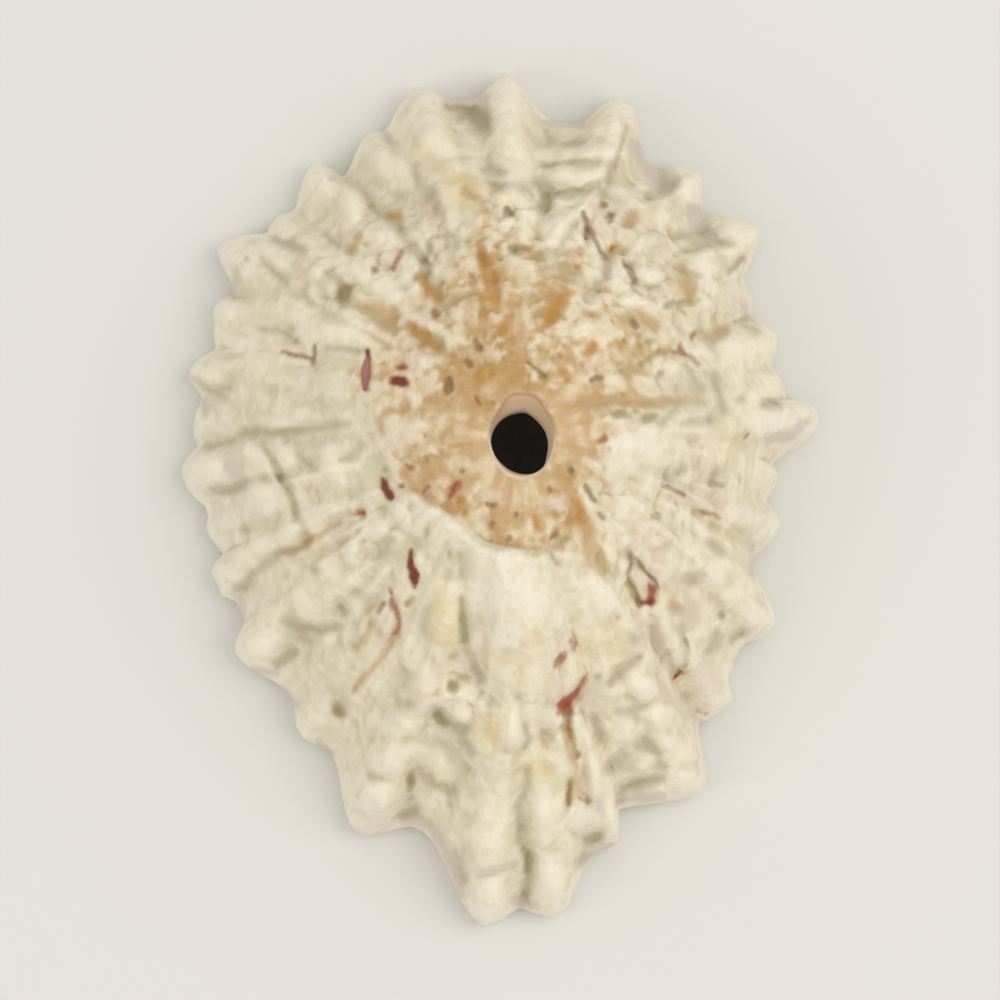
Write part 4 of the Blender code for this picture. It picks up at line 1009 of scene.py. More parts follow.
def undersideRings(columns, edge, bottom):
    # the flat band under the margin, then the hollow up to the thick ring round the hole
    bearing, rib = columns["bearing"], columns["rib"]
    inner = averaged(columns["valley"], len(bearing) // 5) - form["marginWall"]
    start = columns["margin"] - edge
    rings = []
    for row in range(1, fineness["bandRows"]):
        part = row / fineness["bandRows"]
        x, y = aroundHole(bearing, start + (inner - start) * part)
        z = bottom * (1.0 - part) + form["bandArch"] * math.sin(math.pi * part)
        rings.append((ringAt(x, y, z), 1, "band", part))

    innerX, innerY = aroundHole(bearing, inner)
    topX, topY = oval(bearing, form["lowerRimHalf"])
    top = form["rimHeight"] - form["wallAtApex"]
    fluteWidth = np.minimum(columns["width"] * form["fluteWidth"], 1.0)
    flute = form["fluteHeight"] * np.cos(math.pi * rib) * fluteWidth
    for row in range(fineness["innerRows"] + 1):
        part = 1.0 - row / fineness["innerRows"]
        x, y = topX + (innerX - topX) * part, topY + (innerY - topY) * part
        z = top * (1.0 - part ** form["innerBend"]) + flute * part**8 * (1.0 - part**40)
        z = z - form["callusDrop"] * (1.0 - between(reachOf(x, y), *form["callusReach"]))
        step = 2 if part >= fineness["coarseInside"] else fineness["coarsest"]
        rings.append((ringAt(x, y, z), step, "inner", part))
    return rings


def throatRings(columns):
    # up through the hole: the rounded lower rim, the upright wall, and the flare to the upper rim
    bearing, coarsest = columns["bearing"], fineness["coarsest"]
    throatX, throatY = oval(bearing, form["throatHalf"], form["throatShift"], form["throatUneven"])
    lowX, lowY = oval(bearing, form["lowerRimHalf"])
    rimX, rimY = rimOf(bearing)
    low = form["rimHeight"] - form["wallAtApex"] - form["callusDrop"]
    wallTop = form["rimHeight"] - form["throatDepth"]
    foot = wallTop - form["throatWall"]
    roundRows, wallRows, flareRows = fineness["throatRows"]
    rings = []
    for row in range(1, roundRows + 1):
        angle = math.pi / 2 * row / roundRows
        part = math.sin(angle)
        x, y = lowX + (throatX - lowX) * part, lowY + (throatY - lowY) * part
        rings.append((ringAt(x, y, low + (foot - low) * (1.0 - math.cos(angle))), coarsest, "throat", 0.0))
    for row in range(1, wallRows + 1):
        z = foot + (wallTop - foot) * row / wallRows
        rings.append((ringAt(throatX, throatY, z), coarsest, "throat", 0.0))
    for row in range(1, flareRows):
        part = row / flareRows
        x, y = throatX + (rimX - throatX) * part, throatY + (rimY - throatY) * part
        z = form["rimHeight"] - form["throatDepth"] * (1.0 - part) ** 1.5
        rings.append((ringAt(x, y, z), 2, "throat", part))
    return rings


def shellRings(columns):
    rib = smoothStep(columns["rib"])
    edge = form["edgeAtTip"] + (form["edgeInValley"] - form["edgeAtTip"]) * rib
    bottom = form["valleyLift"] * columns["rib"]**3
    body = bodyRings(columns, edge)
    return (
        body + edgeRings(columns, edge, bottom, body[-1][0][:, 2]) + undersideRings(columns, edge, bottom)
        + throatRings(columns)
    )


def joinRings(faces, first, second):
    if len(first) < len(second):
        joined = []
        joinRings(joined, second, first)
        faces += [face[::-1] for face in joined]
    elif len(first) == len(second):
        for here in range(len(first)):
            after = (here + 1) % len(first)
            faces.append((first[here], first[after], second[after], second[here]))
    else:
        for here in range(len(second)):
            after = (here + 1) % len(second)
            fine = first[2 * here], first[2 * here + 1], first[(2 * here + 2) % len(first)]
            faces.append((fine[0], fine[1], second[here]))
            faces.append((fine[1], second[after], second[here]))
            faces.append((fine[1], fine[2], second[after]))


def edgesOf(faces):
    found = set()
    for face in faces:
        for start, end in zip(face, face[1:] + face[:1]):
            found.add((start, end) if start < end else (end, start))
    return np.array(sorted(found))


def trianglesOf(faces):
    return np.array([(face[0], face[last - 1], face[last]) for face in faces for last in range(2, len(face))])


def blurred(values, edges, times):
    count = np.bincount(edges.ravel(), minlength=len(values)).astype(float)
    for _ in range(times):
        total = np.zeros(values.shape)
        np.add.at(total, edges[:, 0], values[edges[:, 1]])
        np.add.at(total, edges[:, 1], values[edges[:, 0]])
        mean = total / (count[:, None] if values.ndim > 1 else count)
        values = 0.5 * values + 0.5 * mean
    return values


def normalsOf(points, triangles):
    corners = points[triangles]
    square = np.cross(corners[:, 1] - corners[:, 0], corners[:, 2] - corners[:, 0])
    total = np.zeros(points.shape)
    for corner in range(3):
        np.add.at(total, triangles[:, corner], square)
    return total / np.maximum(np.linalg.norm(total, axis=1), least)[:, None]


def alongRays(points, pull):
    # the place of each point in a space where patterns are drawn out towards the margin
    bearing = np.arctan2(points[:, 0] - form["hole"][0], points[:, 1] - form["hole"][1])
    reach = reachOf(points[:, 0], points[:, 1])
    spread = relief["raySpread"]
    return np.stack([np.cos(bearing) * spread, np.sin(bearing) * spread, reach * pull], axis=-1)


relief = {
    # size in mm, height in mm
    "broad": (3.6, 0.13),
    "middle": (1.3, 0.07),
    "small": (0.5, 0.03),
    "rays": (0.2, 0.17),
    "lumps": (1.15, 0.62),
    "rough": (0.62, 0.70),
    "bands": (0.30, 0.006),
    "middleInHollow": 0.7,
    "raySpread": 4.0,
    "rayPull": 0.05,
    "raysFrom": (4.0, 7.0),  # mm from the hole
    "raysAtMargin": (0.82, 0.92, 0.6),  # from and to, as shares of the way out, and what is lost there
    "lumpsAtMargin": (0.80, 0.95, 0.5),
    "lumpLevel": 0.3,
    "roundLumps": 0.4,
    "rayLumps": (0.16, 0.36, 0.6),  # pull, size, share
    "roughLevel": 0.25,
    "bandsFrom": (5.0, 8.0),
    "bandWaver": (1.5, 1.2),
    "lipCalm": 0.75,
    "knobs": 1.3,
    "lineEdge": 0.8,  # how soft a raised line's side is for its width
    "markEdge": 2.0,  # pixels
    "blurs": 4,
}
# How deep each group of marks is sunk, in mm; the painted highlights on the crests stand up instead
sunk = {
    "maroon": 0.10, "red": 0.07, "rust": 0.07, "brown": 0.10, "olive": 0.10, "grey": 0.08, "bright": -0.08,
}


def grownRelief(points, share, stands):
    # the irregular swell of an old shell, and the lumps and lines drawn out along its ribs
    reach = reachOf(points[:, 0], points[:, 1])

    def field(name, place):
        size, height = relief[name]
        return height * cloud(place, size, draws[name])

    def lostAtMargin(name):
        low, high, lost = relief[name]
        return 1.0 - lost * between(share, low, high)

    inHollow = relief["middleInHollow"]
    swell = field("broad", points) + field("small", points)
    swell = swell + field("middle", points) * (inHollow + (1.0 - inHollow) * stands)
    rays = field("rays", alongRays(points, relief["rayPull"]))
    swell = swell + rays * stands * between(reach, *relief["raysFrom"]) * lostAtMargin("raysAtMargin")
    size, height = relief["lumps"]
    pull, raySize, rayShare = relief["rayLumps"]
    lumps = relief["lumpLevel"] - relief["roundLumps"] * cellGap(points, size, draws["lumps"]) ** 2
    lumps = lumps - rayShare * cellGap(alongRays(points, pull), raySize, draws["rayLumps"]) ** 2
    return swell + height * lumps * stands * lostAtMargin("lumpsAtMargin")


def roughRelief(points, px, py, stands):
    # the jumbled places, the faint growth bands, and the grains and pits of the worn hollow
    reach = reachOf(points[:, 0], points[:, 1])
    size, height = relief["rough"]
    lumps = relief["roughLevel"] - cellGap(points, size, draws["rough"]) ** 2
    swell = height * patchShare(px, py, roughPatches) * lumps
    size, height = relief["bands"]
    waverSize, waver = relief["bandWaver"]
    bands = reach / size + waver * noise(points, waverSize, draws["bands"])
    swell = swell + height * np.abs(bands % 1.0 - 0.5) * 2.0 * between(reach, *relief["bandsFrom"])
    worn = (1.0 - stands) * between(reach, *crater["granulesFrom"])
    grains = crater["granuleLevel"] - cellGap(points, crater["granuleSize"], draws["granules"])
    pits = between(cellGap(points, crater["pitSize"], draws["pits"]), *crater["pitEdge"])
    return swell + worn * (crater["granules"] * grains - crater["pitDepth"] * pits)


def placedRelief(px, py):
    # every feature whose place is read from the photograph
    height = np.zeros(px.shape)
    for x, y, halfLong, halfWide, turn, tall, flatness in knobs:
        height += relief["knobs"] * tall * spotShare(px, py, x, y, halfLong, halfWide, turn, flatness)
    for stroke, tall in ridgeLines:
        soft = relief["lineEdge"] * sum(point[2] for point in stroke) / len(stroke)
        height += tall * between(strokeDepth(px, py, stroke), -soft, soft)
    soft = relief["markEdge"]
    for group, deep in sunk.items():
        for stroke in marks[group]:
            height -= deep * between(strokeDepth(px, py, stroke), -soft, soft)
    return height


def sculpt(points, normals, edges, share, outer, lip):
    px, py = seenAt(points)
    stands, _ = outsideCrater(px, py)
    calm = 1.0 - patchShare(px, py, calmPatches)
    swell = blurred(grownRelief(points, share, stands) * calm, edges, relief["blurs"])
    swell = (swell + roughRelief(points, px, py, stands)) * outer * (1.0 - relief["lipCalm"] * lip)
    height = placedRelief(px, py) * outer
    moved = points + normals * blurred(swell, edges, 1)[:, None]
    return moved + towardsCamera() * blurred(height, edges, 1)[:, None]


# What the paint reads off the shape
reading = {
    "fineRelief": (3, 0.03),  # rounds of smoothing to compare with, mm that count as full
    "broadRelief": (30, 0.16),
    "streak": (0.25, 0.55, 3, 0.8),  # pull, size, layers, strength
    "nearHole": (4.6, 1.4),
    "tintFlatness": 1.2,
    "markShift": (0.55, 2.2),  # size in mm, pixels
    "markDepth": 10.0,
    "brim": ((0.82, 0.94, 0.35), (0.975, 0.995, 0.65)),  # from and to, as shares of the way out, and strength
    "shownFrom": 0.02,  # share of the relief below which a point counts as underside
}


def tanWear(points, px, py, streak):
    # the stain's share at each point, and the line of the ledge that bounds it below
    away = outsideCrater(px, py)[1]
    holeX, holeY = seenAt(np.array([form["hole"][0], form["hole"][1], form["rimHeight"]]))
    turn = np.degrees(np.arctan2(px - holeX, holeY - py)) % 360.0
    reaches = stain["reach"] + [(360, stain["reach"][0][1])]
    limit = np.interp(turn, *np.array(reaches, float).T)
    size, ragged = stain["ragged"]
    limit = limit + ragged * cloud(points, size, draws["ragged"]) + stain["streaky"] * streak
    begins, full, fades, ends = stain["ledge"]
    ledge = between(turn, begins, full) * between(turn, ends, fades)
    wear = smoothStep(0.5 + (limit - np.hypot(px - holeX, py - holeY)) / stain["softness"])
    wear = wear * (1.0 - ledge * smoothStep(0.5 + away / stain["ledgeSoftness"]))
    return wear, ledge * np.exp(-((away / stain["ledgeLine"]) ** 2))


def surfaceMarks(points, normals, edges, share, outer):
    px, py = seenAt(points)
    found = {"brim": sum(most * between(share, low, high) for low, high, most in reading["brim"])}
    pull, size, layers, strength = reading["streak"]
    streak = cloud(alongRays(points, pull), size, draws["streak"], layers) * strength
    found["streak"] = np.clip(streak, -1.0, 1.0)
    # the rays' own relief field, which the paint follows with painted shade in its grooves and painted
    # highlights on its crests
    rays = cloud(alongRays(points, relief["rayPull"]), relief["rays"][0], draws["rays"])
    found["ray"] = np.clip(rays, -1.0, 1.0)
    found["tanWear"], atLedge = tanWear(points, px, py, found["streak"])
    # how far each point stands above or below its smoothed surroundings, for painted shade in hollows and
    # painted highlights on crests
    for name in ("fineRelief", "broadRelief"):
        times, full = reading[name]
        gap = ((points - blurred(points, edges, times)) * normals).sum(axis=1)
        found[name] = np.clip(gap / full, -1.0, 1.0) * (1.0 - atLedge)
    level, full = crater["granuleShade"]
    grains = cellGap(points, crater["granuleSize"], draws["granules"])
    found["grain"] = np.clip((level - grains) / full, -1.0, 1.0)
    found["nearHole"] = between(reachOf(points[:, 0], points[:, 1]), *reading["nearHole"])
    for name, spots in tints.items():
        found[name] = np.zeros(len(points))
        for *spot, strength in spots:
            share = strength * spotShare(px, py, *spot, reading["tintFlatness"])
            found[name] = np.maximum(found[name], share)
    size, shift = reading["markShift"]
    shiftedX = px + shift * cloud(points, size, draws["shiftX"])
    shiftedY = py + shift * cloud(points, size, draws["shiftY"])
    for name, strokes in marks.items():
        depth = np.full(len(points), -nowhere)
        for stroke in strokes:
            depth = np.maximum(depth, strokeDepth(shiftedX, shiftedY, stroke))
        found[name + "Mark"] = np.clip(depth / reading["markDepth"], -1.0, 1.0)
    for name, values in found.items():
        found[name] = np.where(outer > reading["shownFrom"], values, -1.0 if name.endswith("Mark") else 0.0)
    return found


zoneShape = {
    "edgeLost": (1.6, 0.55),  # how fast the relief dies away round the edge, and how much is left of it there
    "marginLost": (0.97, 1.0, 0.45),
    "rimShare": 0.05,
    "lipFrom": (0.88, 0.98),
    "lipWide": (0.45, 0.85),
    "softFrom": 0.985,
    "lining": (1.5, 1.9),
    "throatEdge": 0.006,
    "clearance": 0.004,  # mm inside the box of the solid
}


def reliefShare(zone, share):
    # how much of the relief each point takes: all on the outer face, less round the edge, none inside
    onOuter, onEdge = zone == "outer", zone == "edge"
    low, high, lost = zoneShape["marginLost"]
    fast, left = zoneShape["edgeLost"]
    outer = (1.0 - lost * between(share, low, high)) * smoothStep(share / zoneShape["rimShare"])
    edge = np.clip(1.0 - fast * (share - 1.0), 0.0, 1.0) * left
    return np.where(onOuter, outer, np.where(onEdge, edge, 0.0))


def zoneMarks(zone, share, bearing):
    onOuter, onThroat, onInner = zone == "outer", zone == "throat", zone == "inner"
    found = {"topOfHole": 0.5 + 0.5 * np.cos(bearing)}
    found["hollow"] = np.where(onInner | (zone == "band"), 1.0, 0.0)
    found["hollow"] = np.where(zone == "edge", between(share, *zoneShape["lining"]), found["hollow"])
    found["throat"] = np.where(onOuter, 1.0 - smoothStep(share / zoneShape["throatEdge"]), 0.0)
    found["throat"] = np.where(onThroat, 1.0, found["throat"])
    found["throatDepth"] = np.where(onThroat, 1.0 - share, 0.0)
    found["innerShare"] = np.where(onInner, share, np.where(onThroat, 0.0, 1.0))
    return found


def joinedRings(columns, rings):
    # one mesh of all the rings: its points and faces, and the zone, share, rib and bearing of each point
    kept = [(ring[::step], step, zone, share) for ring, step, zone, share in rings]
    faces, numbers, total = [], [], 0
    for ring, *_ in kept:
        numbers.append(list(range(total, total + len(ring))))
        total += len(ring)
    for index, ring in enumerate(numbers):
        joinRings(faces, ring, numbers[(index + 1) % len(numbers)])
    points = np.concatenate([ring for ring, *_ in kept])
    zone = np.concatenate([np.full(len(ring), name) for ring, _, name, _ in kept])
    share = np.concatenate([np.full(len(ring), row) for ring, _, _, row in kept])
    rib, bearing = (
        np.concatenate([columns[name][::step] for _, step, _, _ in kept]) for name in ("rib", "bearing")
    )
    return points, faces, zone, share, rib, bearing


def shellPiece():
    columns = ribColumns()
    points, faces, zone, share, rib, bearing = joinedRings(columns, shellRings(columns))
    triangles, edges = trianglesOf(faces), edgesOf(faces)
    print("shell mesh:", len(points), "points,", len(triangles), "triangles")

    softEdge = (zone == "edge") | (zone == "band") | ((zone == "outer") & (share > zoneShape["softFrom"]))
    points = np.where(softEdge[:, None], blurred(points, edges, 2), points)
    outer = reliefShare(zone, share)
    lip = between(share, *zoneShape["lipFrom"]) * between(rib, *zoneShape["lipWide"])
    points = sculpt(points, normalsOf(points, triangles), edges, share, outer, lip)
    low, high = (np.array(corner) / mm for corner in cadBox)
    points = np.clip(points, low + zoneShape["clearance"], high - zoneShape["clearance"])
    print("relief done")

    mesh = bpy.data.meshes.new("limpetShell")
    mesh.from_pydata((points * mm).tolist(), [], faces)
    found = surfaceMarks(points, normalsOf(points, triangles), edges, share, outer)
    found.update(zoneMarks(zone, share, bearing))
    for name, values in found.items():
        layer = mesh.attributes.new(name, "FLOAT", "POINT")
        layer.data.foreach_set("value", values.astype(np.float32))
    mesh.shade_smooth()
    piece = bpy.data.objects.new("limpetShell", mesh)
    bpy.context.scene.collection.objects.link(piece)
    print("attributes done")
    return piece, list(found)


# Shader maths: a wire is one output of a node, and a sum on it adds Math nodes to its tree
class Wire:
    def __init__(self, tree, socket=None):
        self.tree = tree
        self.socket = socket

    def add(self, kind, settings=None, sockets=None, output=0):
        node = self.tree.nodes.new("ShaderNode" + kind)
        for name, value in (settings or {}).items():
            setattr(node, name, value)
        for name, value in (sockets or {}).items():
            if isinstance(value, Wire):
                self.tree.links.new(value.socket, node.inputs[name])
            else:
                node.inputs[name].default_value = value
        return Wire(self.tree, node.outputs[output])

    def maths(self, operation, *others):
        return self.add("Math", {"operation": operation}, dict(enumerate((self,) + others)))

    def __add__(self, other):
        return self.maths("ADD", other)

    def __radd__(self, other):
        return self + other

    def __sub__(self, other):
        return self.maths("SUBTRACT", other)

    def __rsub__(self, other):
        return self * -1.0 + other

    def __mul__(self, other):
        return self.maths("MULTIPLY", other)

    def __rmul__(self, other):
        return self * other

    def step(self, low, high):
        return self.add(
            "MapRange", {"interpolation_type": "SMOOTHSTEP"},
            {"Value": self, "From Min": low, "From Max": high},
        )

    def mixed(self, first, second):
        # this wire is the factor, from the first colour to the second; the node's colour sockets are 6 and 7
        return self.add("Mix", {"data_type": "RGBA"}, {0: self, 6: first, 7: second}, 2)

    def feed(self, node, name):
        self.tree.links.new(self.socket, node.inputs[name])


def paint(red, green, blue):
    # a colour as it is read off a screen, for a shader
    def linear(value):
        value = value / 255.0
        return value / 12.92 if value <= 0.04045 else ((value + 0.055) / 1.055) ** 2.4

    return (linear(red), linear(green), linear(blue), 1.0)


shellPaint = {
    "cream": paint(237, 227, 196),
    # a pale tone, used also for painted highlights
    "light": paint(248, 241, 216),
    "shade": paint(220, 210, 180),
    # painted shade for the hollows and for the grooves between the rays
    "cavityShade": paint(200, 186, 152),
    "green": paint(208, 203, 174),
    "yellow": paint(238, 218, 168),
    "pink": paint(230, 210, 190),
    "pale": paint(243, 236, 222),
    # white, used also for painted highlights
    "white": paint(246, 240, 220),
    # the lip's pinkish grey, darkened as painted shade
    "lip": paint(214, 202, 188),
    # painted shade for the hollows between the lumps
    "grey": paint(182, 172, 142),
    "tan": paint(209, 177, 132),
    "tanDeep": paint(194, 154, 96),
    "tanBrown": paint(174, 138, 86),
    "tanPale": paint(232, 208, 172),
    "crumb": paint(243, 230, 204),
    "mustard": paint(190, 150, 84),
    "orangeMark": paint(192, 140, 66),
    "tanMark": paint(204, 168, 118),
    # olive stains, and painted shade in pits and grooves
    "oliveMark": paint(166, 154, 116),
    "brownMark": paint(136, 98, 54),
    "redMark": paint(158, 72, 48),
    "rustMark": paint(166, 104, 66),
    "roseMark": paint(180, 132, 122),
    "maroonMark": paint(124, 46, 32),
    "halo": paint(206, 166, 132),
    "throatRim": paint(186, 146, 104),
    "throatFoot": paint(238, 214, 186),
    "throat": paint(218, 188, 154),
    "throatDeep": paint(226, 202, 178),
    "inside": paint(240, 236, 222),
    "insideBand": paint(222, 222, 200),
    "insideRay": paint(230, 214, 198),
    # the soft patches, from the lowest up, and how much each covers
    "tints": [
        ("mustard", 0.4), ("green", 0.8), ("pink", 0.8), ("yellow", 0.7), ("pale", 0.85), ("white", 0.85),
    ],
    # the marks, from the lowest up: paint, depths at which it begins and is full, how much it covers
    "marks": [
        # the lip, grey and olive marks carry painted shade, the crest marks painted highlights
        ("lipMark", "lip", -0.4, 0.4, 0.8), ("greyMark", "grey", -0.7, 0.5, 0.68),
        ("brightMark", "light", -0.7, 0.5, 0.7), ("tanMark", "tanMark", -0.55, 0.5, 0.7),
        ("orangeMark", "orangeMark", -0.45, 0.45, 0.8), ("oliveMark", "oliveMark", -0.35, 0.35, 0.6),
        ("redMark", "halo", -0.6, 0.2, 0.6), ("maroonMark", "halo", -0.5, 0.2, 0.5),
        ("brownMark", "brownMark", -0.28, 0.26, 0.7), ("rustMark", "rustMark", -0.2, 0.4, 0.85),
        ("redMark", "redMark", -0.1, 0.4, 0.9), ("maroonMark", "maroonMark", -0.2, 0.24, 0.95),
        ("roseMark", "roseMark", -0.2, 0.2, 0.8),
    ],
    # fields of speckles: size in mm, detail, draw
    "speckles": {
        "large": (3.2, 2.0, 0.0), "medium": (1.1, 3.0, 0.0), "small": (0.32, 3.0, 0.0),
        "dust": (0.14, 4.0, 0.0), "greenPatch": (1.6, 1.0, 3.0), "lightPatch": (1.1, 1.0, 7.0),
        "pinkPatch": (1.8, 1.0, 11.0), "tiny": (0.5, 1.0, 17.0), "wornPatch": (0.7, 1.0, 23.0),
        "crumb": (0.55, 1.0, 29.0), "chip": (0.9, 2.0, 31.0), "flake": (0.5, 1.0, 37.0),
    },
    "roughness": 0.56,
    "bump": 0.00016,
    "bumpStrength": 0.7,
    "IOR": 1.5,
    "Specular IOR Level": 0.35,
}


def chalkColour(at):
    # the outer layer, in soft patches like worn chalk, with painted shade in its hollows and grooves and
    # painted highlights on its crests
    look, fine, broad, tiny = shellPaint, at["fineRelief"], at["broadRelief"], at["tiny"]
    colour = (at["large"] * 0.4 + at["medium"] * 0.6).step(0.34, 0.66).mixed(look["shade"], look["cream"])
    # green-grey patches, leaning into the hollows as painted shade
    colour = ((at["greenPatch"] - broad * 0.08).step(0.44, 0.72) * 0.6).mixed(colour, look["green"])
    colour = ((at["pinkPatch"] - broad * 0.05).step(0.46, 0.76) * 0.5).mixed(colour, look["pink"])
    # pale patches, leaning onto the crests as painted highlights, then darker speckles leaning into the
    # hollows as painted shade
    raised = at["lightPatch"] + broad * 0.16 + (tiny - 0.5) * 0.15
    colour = (raised.step(0.42, 0.70) * 0.8).mixed(colour, look["light"])
    colour = ((tiny - broad * 0.06).step(0.46, 0.70) * 0.18).mixed(colour, look["shade"])
    # painted shade in the grooves of the rays and painted highlights on their crests
    ray = at["ray"] + (at["medium"] - 0.5) * 0.6
    colour = ((0.0 - ray).step(0.0, 0.9) * 0.35).mixed(colour, look["cavityShade"])
    colour = (ray.step(0.1, 1.0) * 0.55).mixed(colour, look["light"])
    # painted shade in the hollows of the relief
    low = (at["small"] - 0.5) * 0.3 - broad * 0.7 - fine * 0.35
    colour = low.step(0.05, 0.95).mixed(colour, look["cavityShade"])
    patchy = at["greenPatch"] - 0.5 + (tiny - 0.5) * 0.5
    for name, most in look["tints"]:
        tint = at[name] + patchy * at[name].step(0.0, 0.3)
        colour = (tint.step(0.05, 1.0) * most).mixed(colour, look[name])
    colour = (at["brim"] * 0.75).mixed(colour, look["pale"])

    # chips of the top layer, with crisp edges
    colour = (at["chip"].step(0.49, 0.57) * 0.38).mixed(colour, look["light"])
    return (at["flake"].step(0.54, 0.62) * 0.30).mixed(colour, look["shade"])


def wornColour(at):
    # the worn hollow: radial streaks of tan under pale crumbs, smooth next to the hole
    look, fine, tiny, patch, crumb = shellPaint, at["fineRelief"], at["tiny"], at["wornPatch"], at["crumb"]
    away = 1.0 - at["nearHole"] * 0.4
    streak = at["streak"] * away
    base = (patch - 0.5) * 1.8 * away + streak * 0.5 + 0.55
    colour = base.step(0.2, 0.8).mixed(look["tanPale"], look["tan"])
    deep = (crumb - 0.5) * 1.2 + streak * 0.6 + 0.1
    colour = (deep.step(0.15, 0.75) * 0.5).mixed(colour, look["tanDeep"])
    mustard = at["mustard"] + (patch - 0.5) * 1.2 * at["mustard"].step(0.0, 0.3)
    colour = (mustard.step(0.05, 0.9) * 0.85).mixed(colour, look["mustard"])
    brown = (tiny - 0.5) * 1.6 - fine * 0.8
    colour = (brown.step(0.2, 0.9) * 0.5 * away).mixed(colour, look["tanBrown"])
    crumbs = at["grain"] * 0.4 + fine * 0.3 + (0.5 - crumb) * 2.0 - streak * 0.5 - at["nearHole"] * 0.6
    return (crumbs.step(-0.25, 0.6) * 0.8).mixed(colour, look["crumb"])


def throatColour(at):
    # a tan rim at the top of the hole, paler at its foot and further down
    look, depth = shellPaint, at["throatDepth"]
    colour = at["topOfHole"].step(0.25, 0.75).mixed(look["throatFoot"], look["throatRim"])
    colour = depth.step(0.0, 0.3).mixed(colour, look["throat"])
    return depth.step(0.4, 0.8).mixed(colour, look["throatDeep"])


def liningColour(at):
    # the smooth inside, with faint growth bands and a darker one near the margin
    look, inside = shellPaint, at["innerShare"]
    bands = (inside * 40.0 + at["large"] * 6.0).maths("SINE") * 0.5 + 0.5
    colour = (bands * 0.35 + (at["medium"] - 0.5) * 0.5).mixed(look["inside"], look["insideBand"])
    return (inside.step(0.62, 0.72) * (1.0 - inside.step(0.72, 0.86)) * 0.5).mixed(colour, look["insideRay"])


def wornShell(piece, layers):
    look = shellPaint
    material = bpy.data.materials.new("wornShell")
    material.use_nodes = True
    surface = material.node_tree.nodes["Principled BSDF"]
    wire = Wire(material.node_tree)
    place = wire.add("TexCoord", output="Object")
    at = {name: wire.add("Attribute", {"attribute_name": name}, output="Fac") for name in layers}
    for name, (size, detail, draw) in look["speckles"].items():
        at[name] = wire.add(
            "TexNoise", {"noise_dimensions": "4D"},
            {"Vector": place, "W": draw, "Scale": 1.0 / (size * mm), "Detail": detail},
        )

    wear, tiny, small = at["tanWear"], at["tiny"], at["small"]
    worn = wear + (at["lightPatch"] - 0.5) * 0.9 * wear.step(0.0, 0.1)
    colour = worn.step(0.05, 0.9).mixed(chalkColour(at), wornColour(at))
    # white patches and painted highlights in the worn hollow, then pink patches
    colour = (at["white"] * wear * (0.4 + tiny)).step(0.3, 0.8).mixed(colour, look["light"])
    colour = (at["pink"] * wear * (0.4 + tiny) * 0.8).step(0.3, 0.8).mixed(colour, look["pink"])
    ragged = (small - 0.5) * 0.4
    for name, paintName, low, high, most in look["marks"]:
        colour = ((at[name] + ragged).step(low, high) * most).mixed(colour, look[paintName])
    colour = at["throat"].mixed(colour, throatColour(at))
    at["hollow"].mixed(colour, liningColour(at)).feed(surface, "Base Color")

    roughness = look["roughness"] + (at["medium"] - 0.5) * 0.2 - at["hollow"] * 0.18 + wear * 0.12
    roughness.feed(surface, "Roughness")
    height = small * 0.6 + at["dust"] * 0.4 + wear * small * 0.6
    height = height * (1.0 - at["hollow"] * 0.85) * (1.0 - at["throat"] * 0.8)
    depth = {"Height": height, "Strength": look["bumpStrength"], "Distance": look["bump"]}
    wire.add("Bump", None, depth).feed(surface, "Normal")
    for name in ("IOR", "Specular IOR Level"):
        surface.inputs[name].default_value = look[name]
    piece.data.materials.append(material)


shell, shellLayers = shellPiece()
wornShell(shell, shellLayers)
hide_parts("shell")
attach(shell, "root")
print("shell dressed")


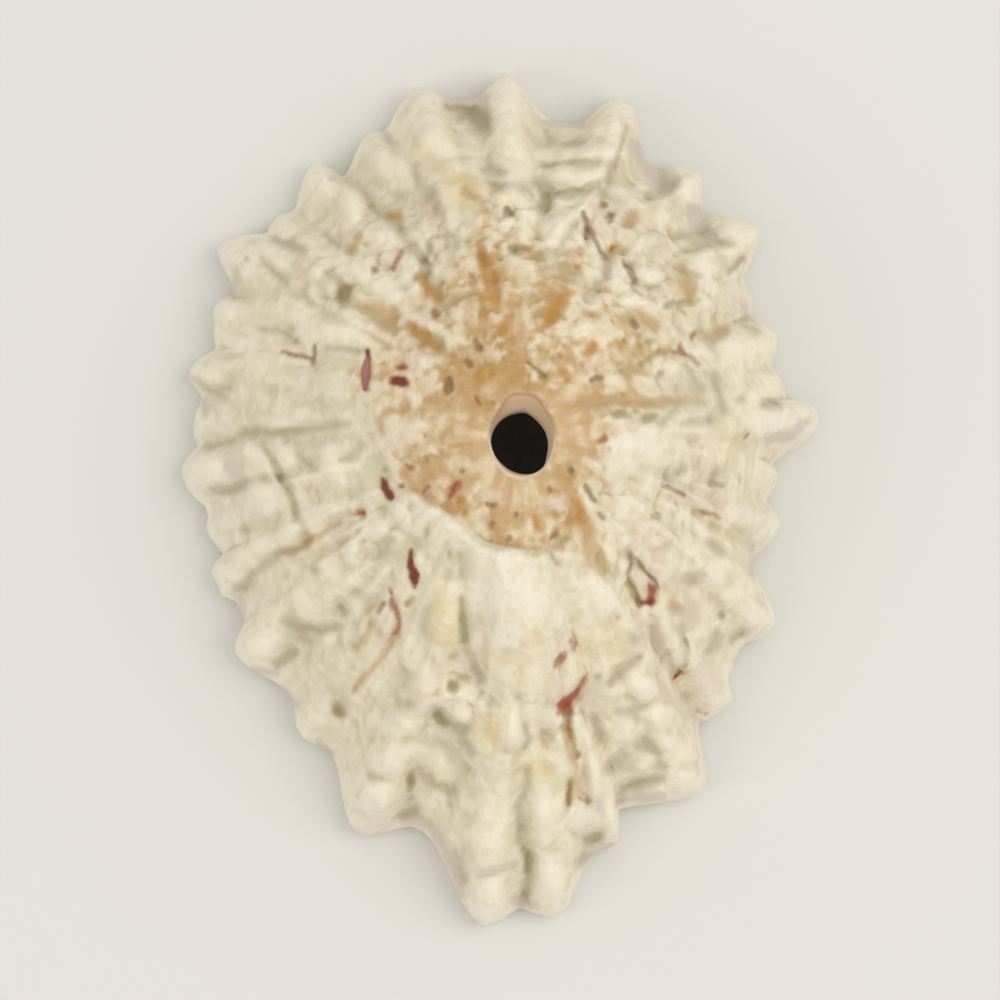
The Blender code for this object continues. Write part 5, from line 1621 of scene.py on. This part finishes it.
studio = {
    "floorHalf": 1.5,
    "floorColour": (0.80, 0.79, 0.77, 1.0),
    "floorRoughness": 0.85,
    "floorShine": 0.2,
    "fill": (1.0, 0.98, 0.95, 1.0),
    "fillStrength": 0.715,
    "lights": {  # place, size and power
        "key": ((0.29, 0.00, 0.45), 0.40, 0.78),
        "side": ((-0.36, -0.18, 0.40), 0.30, 0.34),
    },
    "lightColour": (1.0, 0.975, 0.93),
    "sensor": 36.0,
    "clip": (0.01, 10.0),
}


def placed(name, data):
    thing = bpy.data.objects.new(name, data)
    bpy.context.scene.collection.objects.link(thing)
    return thing


def makeFloor():
    half = studio["floorHalf"]
    mesh = bpy.data.meshes.new("floor")
    corners = [(-half, -half, 0), (half, -half, 0), (half, half, 0), (-half, half, 0)]
    mesh.from_pydata(corners, [], [(0, 1, 2, 3)])
    material = bpy.data.materials.new("paleFloor")
    material.use_nodes = True
    surface = material.node_tree.nodes["Principled BSDF"]
    surface.inputs["Base Color"].default_value = studio["floorColour"]
    surface.inputs["Roughness"].default_value = studio["floorRoughness"]
    surface.inputs["Specular IOR Level"].default_value = studio["floorShine"]
    mesh.materials.append(material)
    floor = placed("floor", mesh)


def makeLights():
    for name, (place, size, power) in studio["lights"].items():
        light = bpy.data.lights.new(name, "AREA")
        light.shape = "DISK"
        light.size = size
        light.energy = power
        light.color = studio["lightColour"]
        lamp = placed(name, light)
        lamp.location = place
        lamp.rotation_euler = (-lamp.location).to_track_quat("-Z", "Y").to_euler()
    world = bpy.data.worlds.new("studio")
    world.use_nodes = True
    background = world.node_tree.nodes["Background"]
    background.inputs["Color"].default_value = studio["fill"]
    background.inputs["Strength"].default_value = studio["fillStrength"]
    bpy.context.scene.world = world


def makeCamera():
    camera = bpy.data.cameras.new("camera")
    camera.sensor_width = studio["sensor"]
    frameWidth = photograph["pixel"] * 2.0 * photograph["middle"]
    camera.lens = camera.sensor_width * photograph["distance"] / frameWidth
    camera.clip_start, camera.clip_end = studio["clip"]
    seat = placed("camera", camera)
    seat.location = towardsCamera() * photograph["distance"] * mm
    seat.rotation_euler = (-seat.location).to_track_quat("-Z", "Y").to_euler()
    bpy.context.scene.camera = seat


makeFloor()
makeLights()
makeCamera()
bpy.context.scene.view_settings.view_transform = "Standard"
print("stage done")
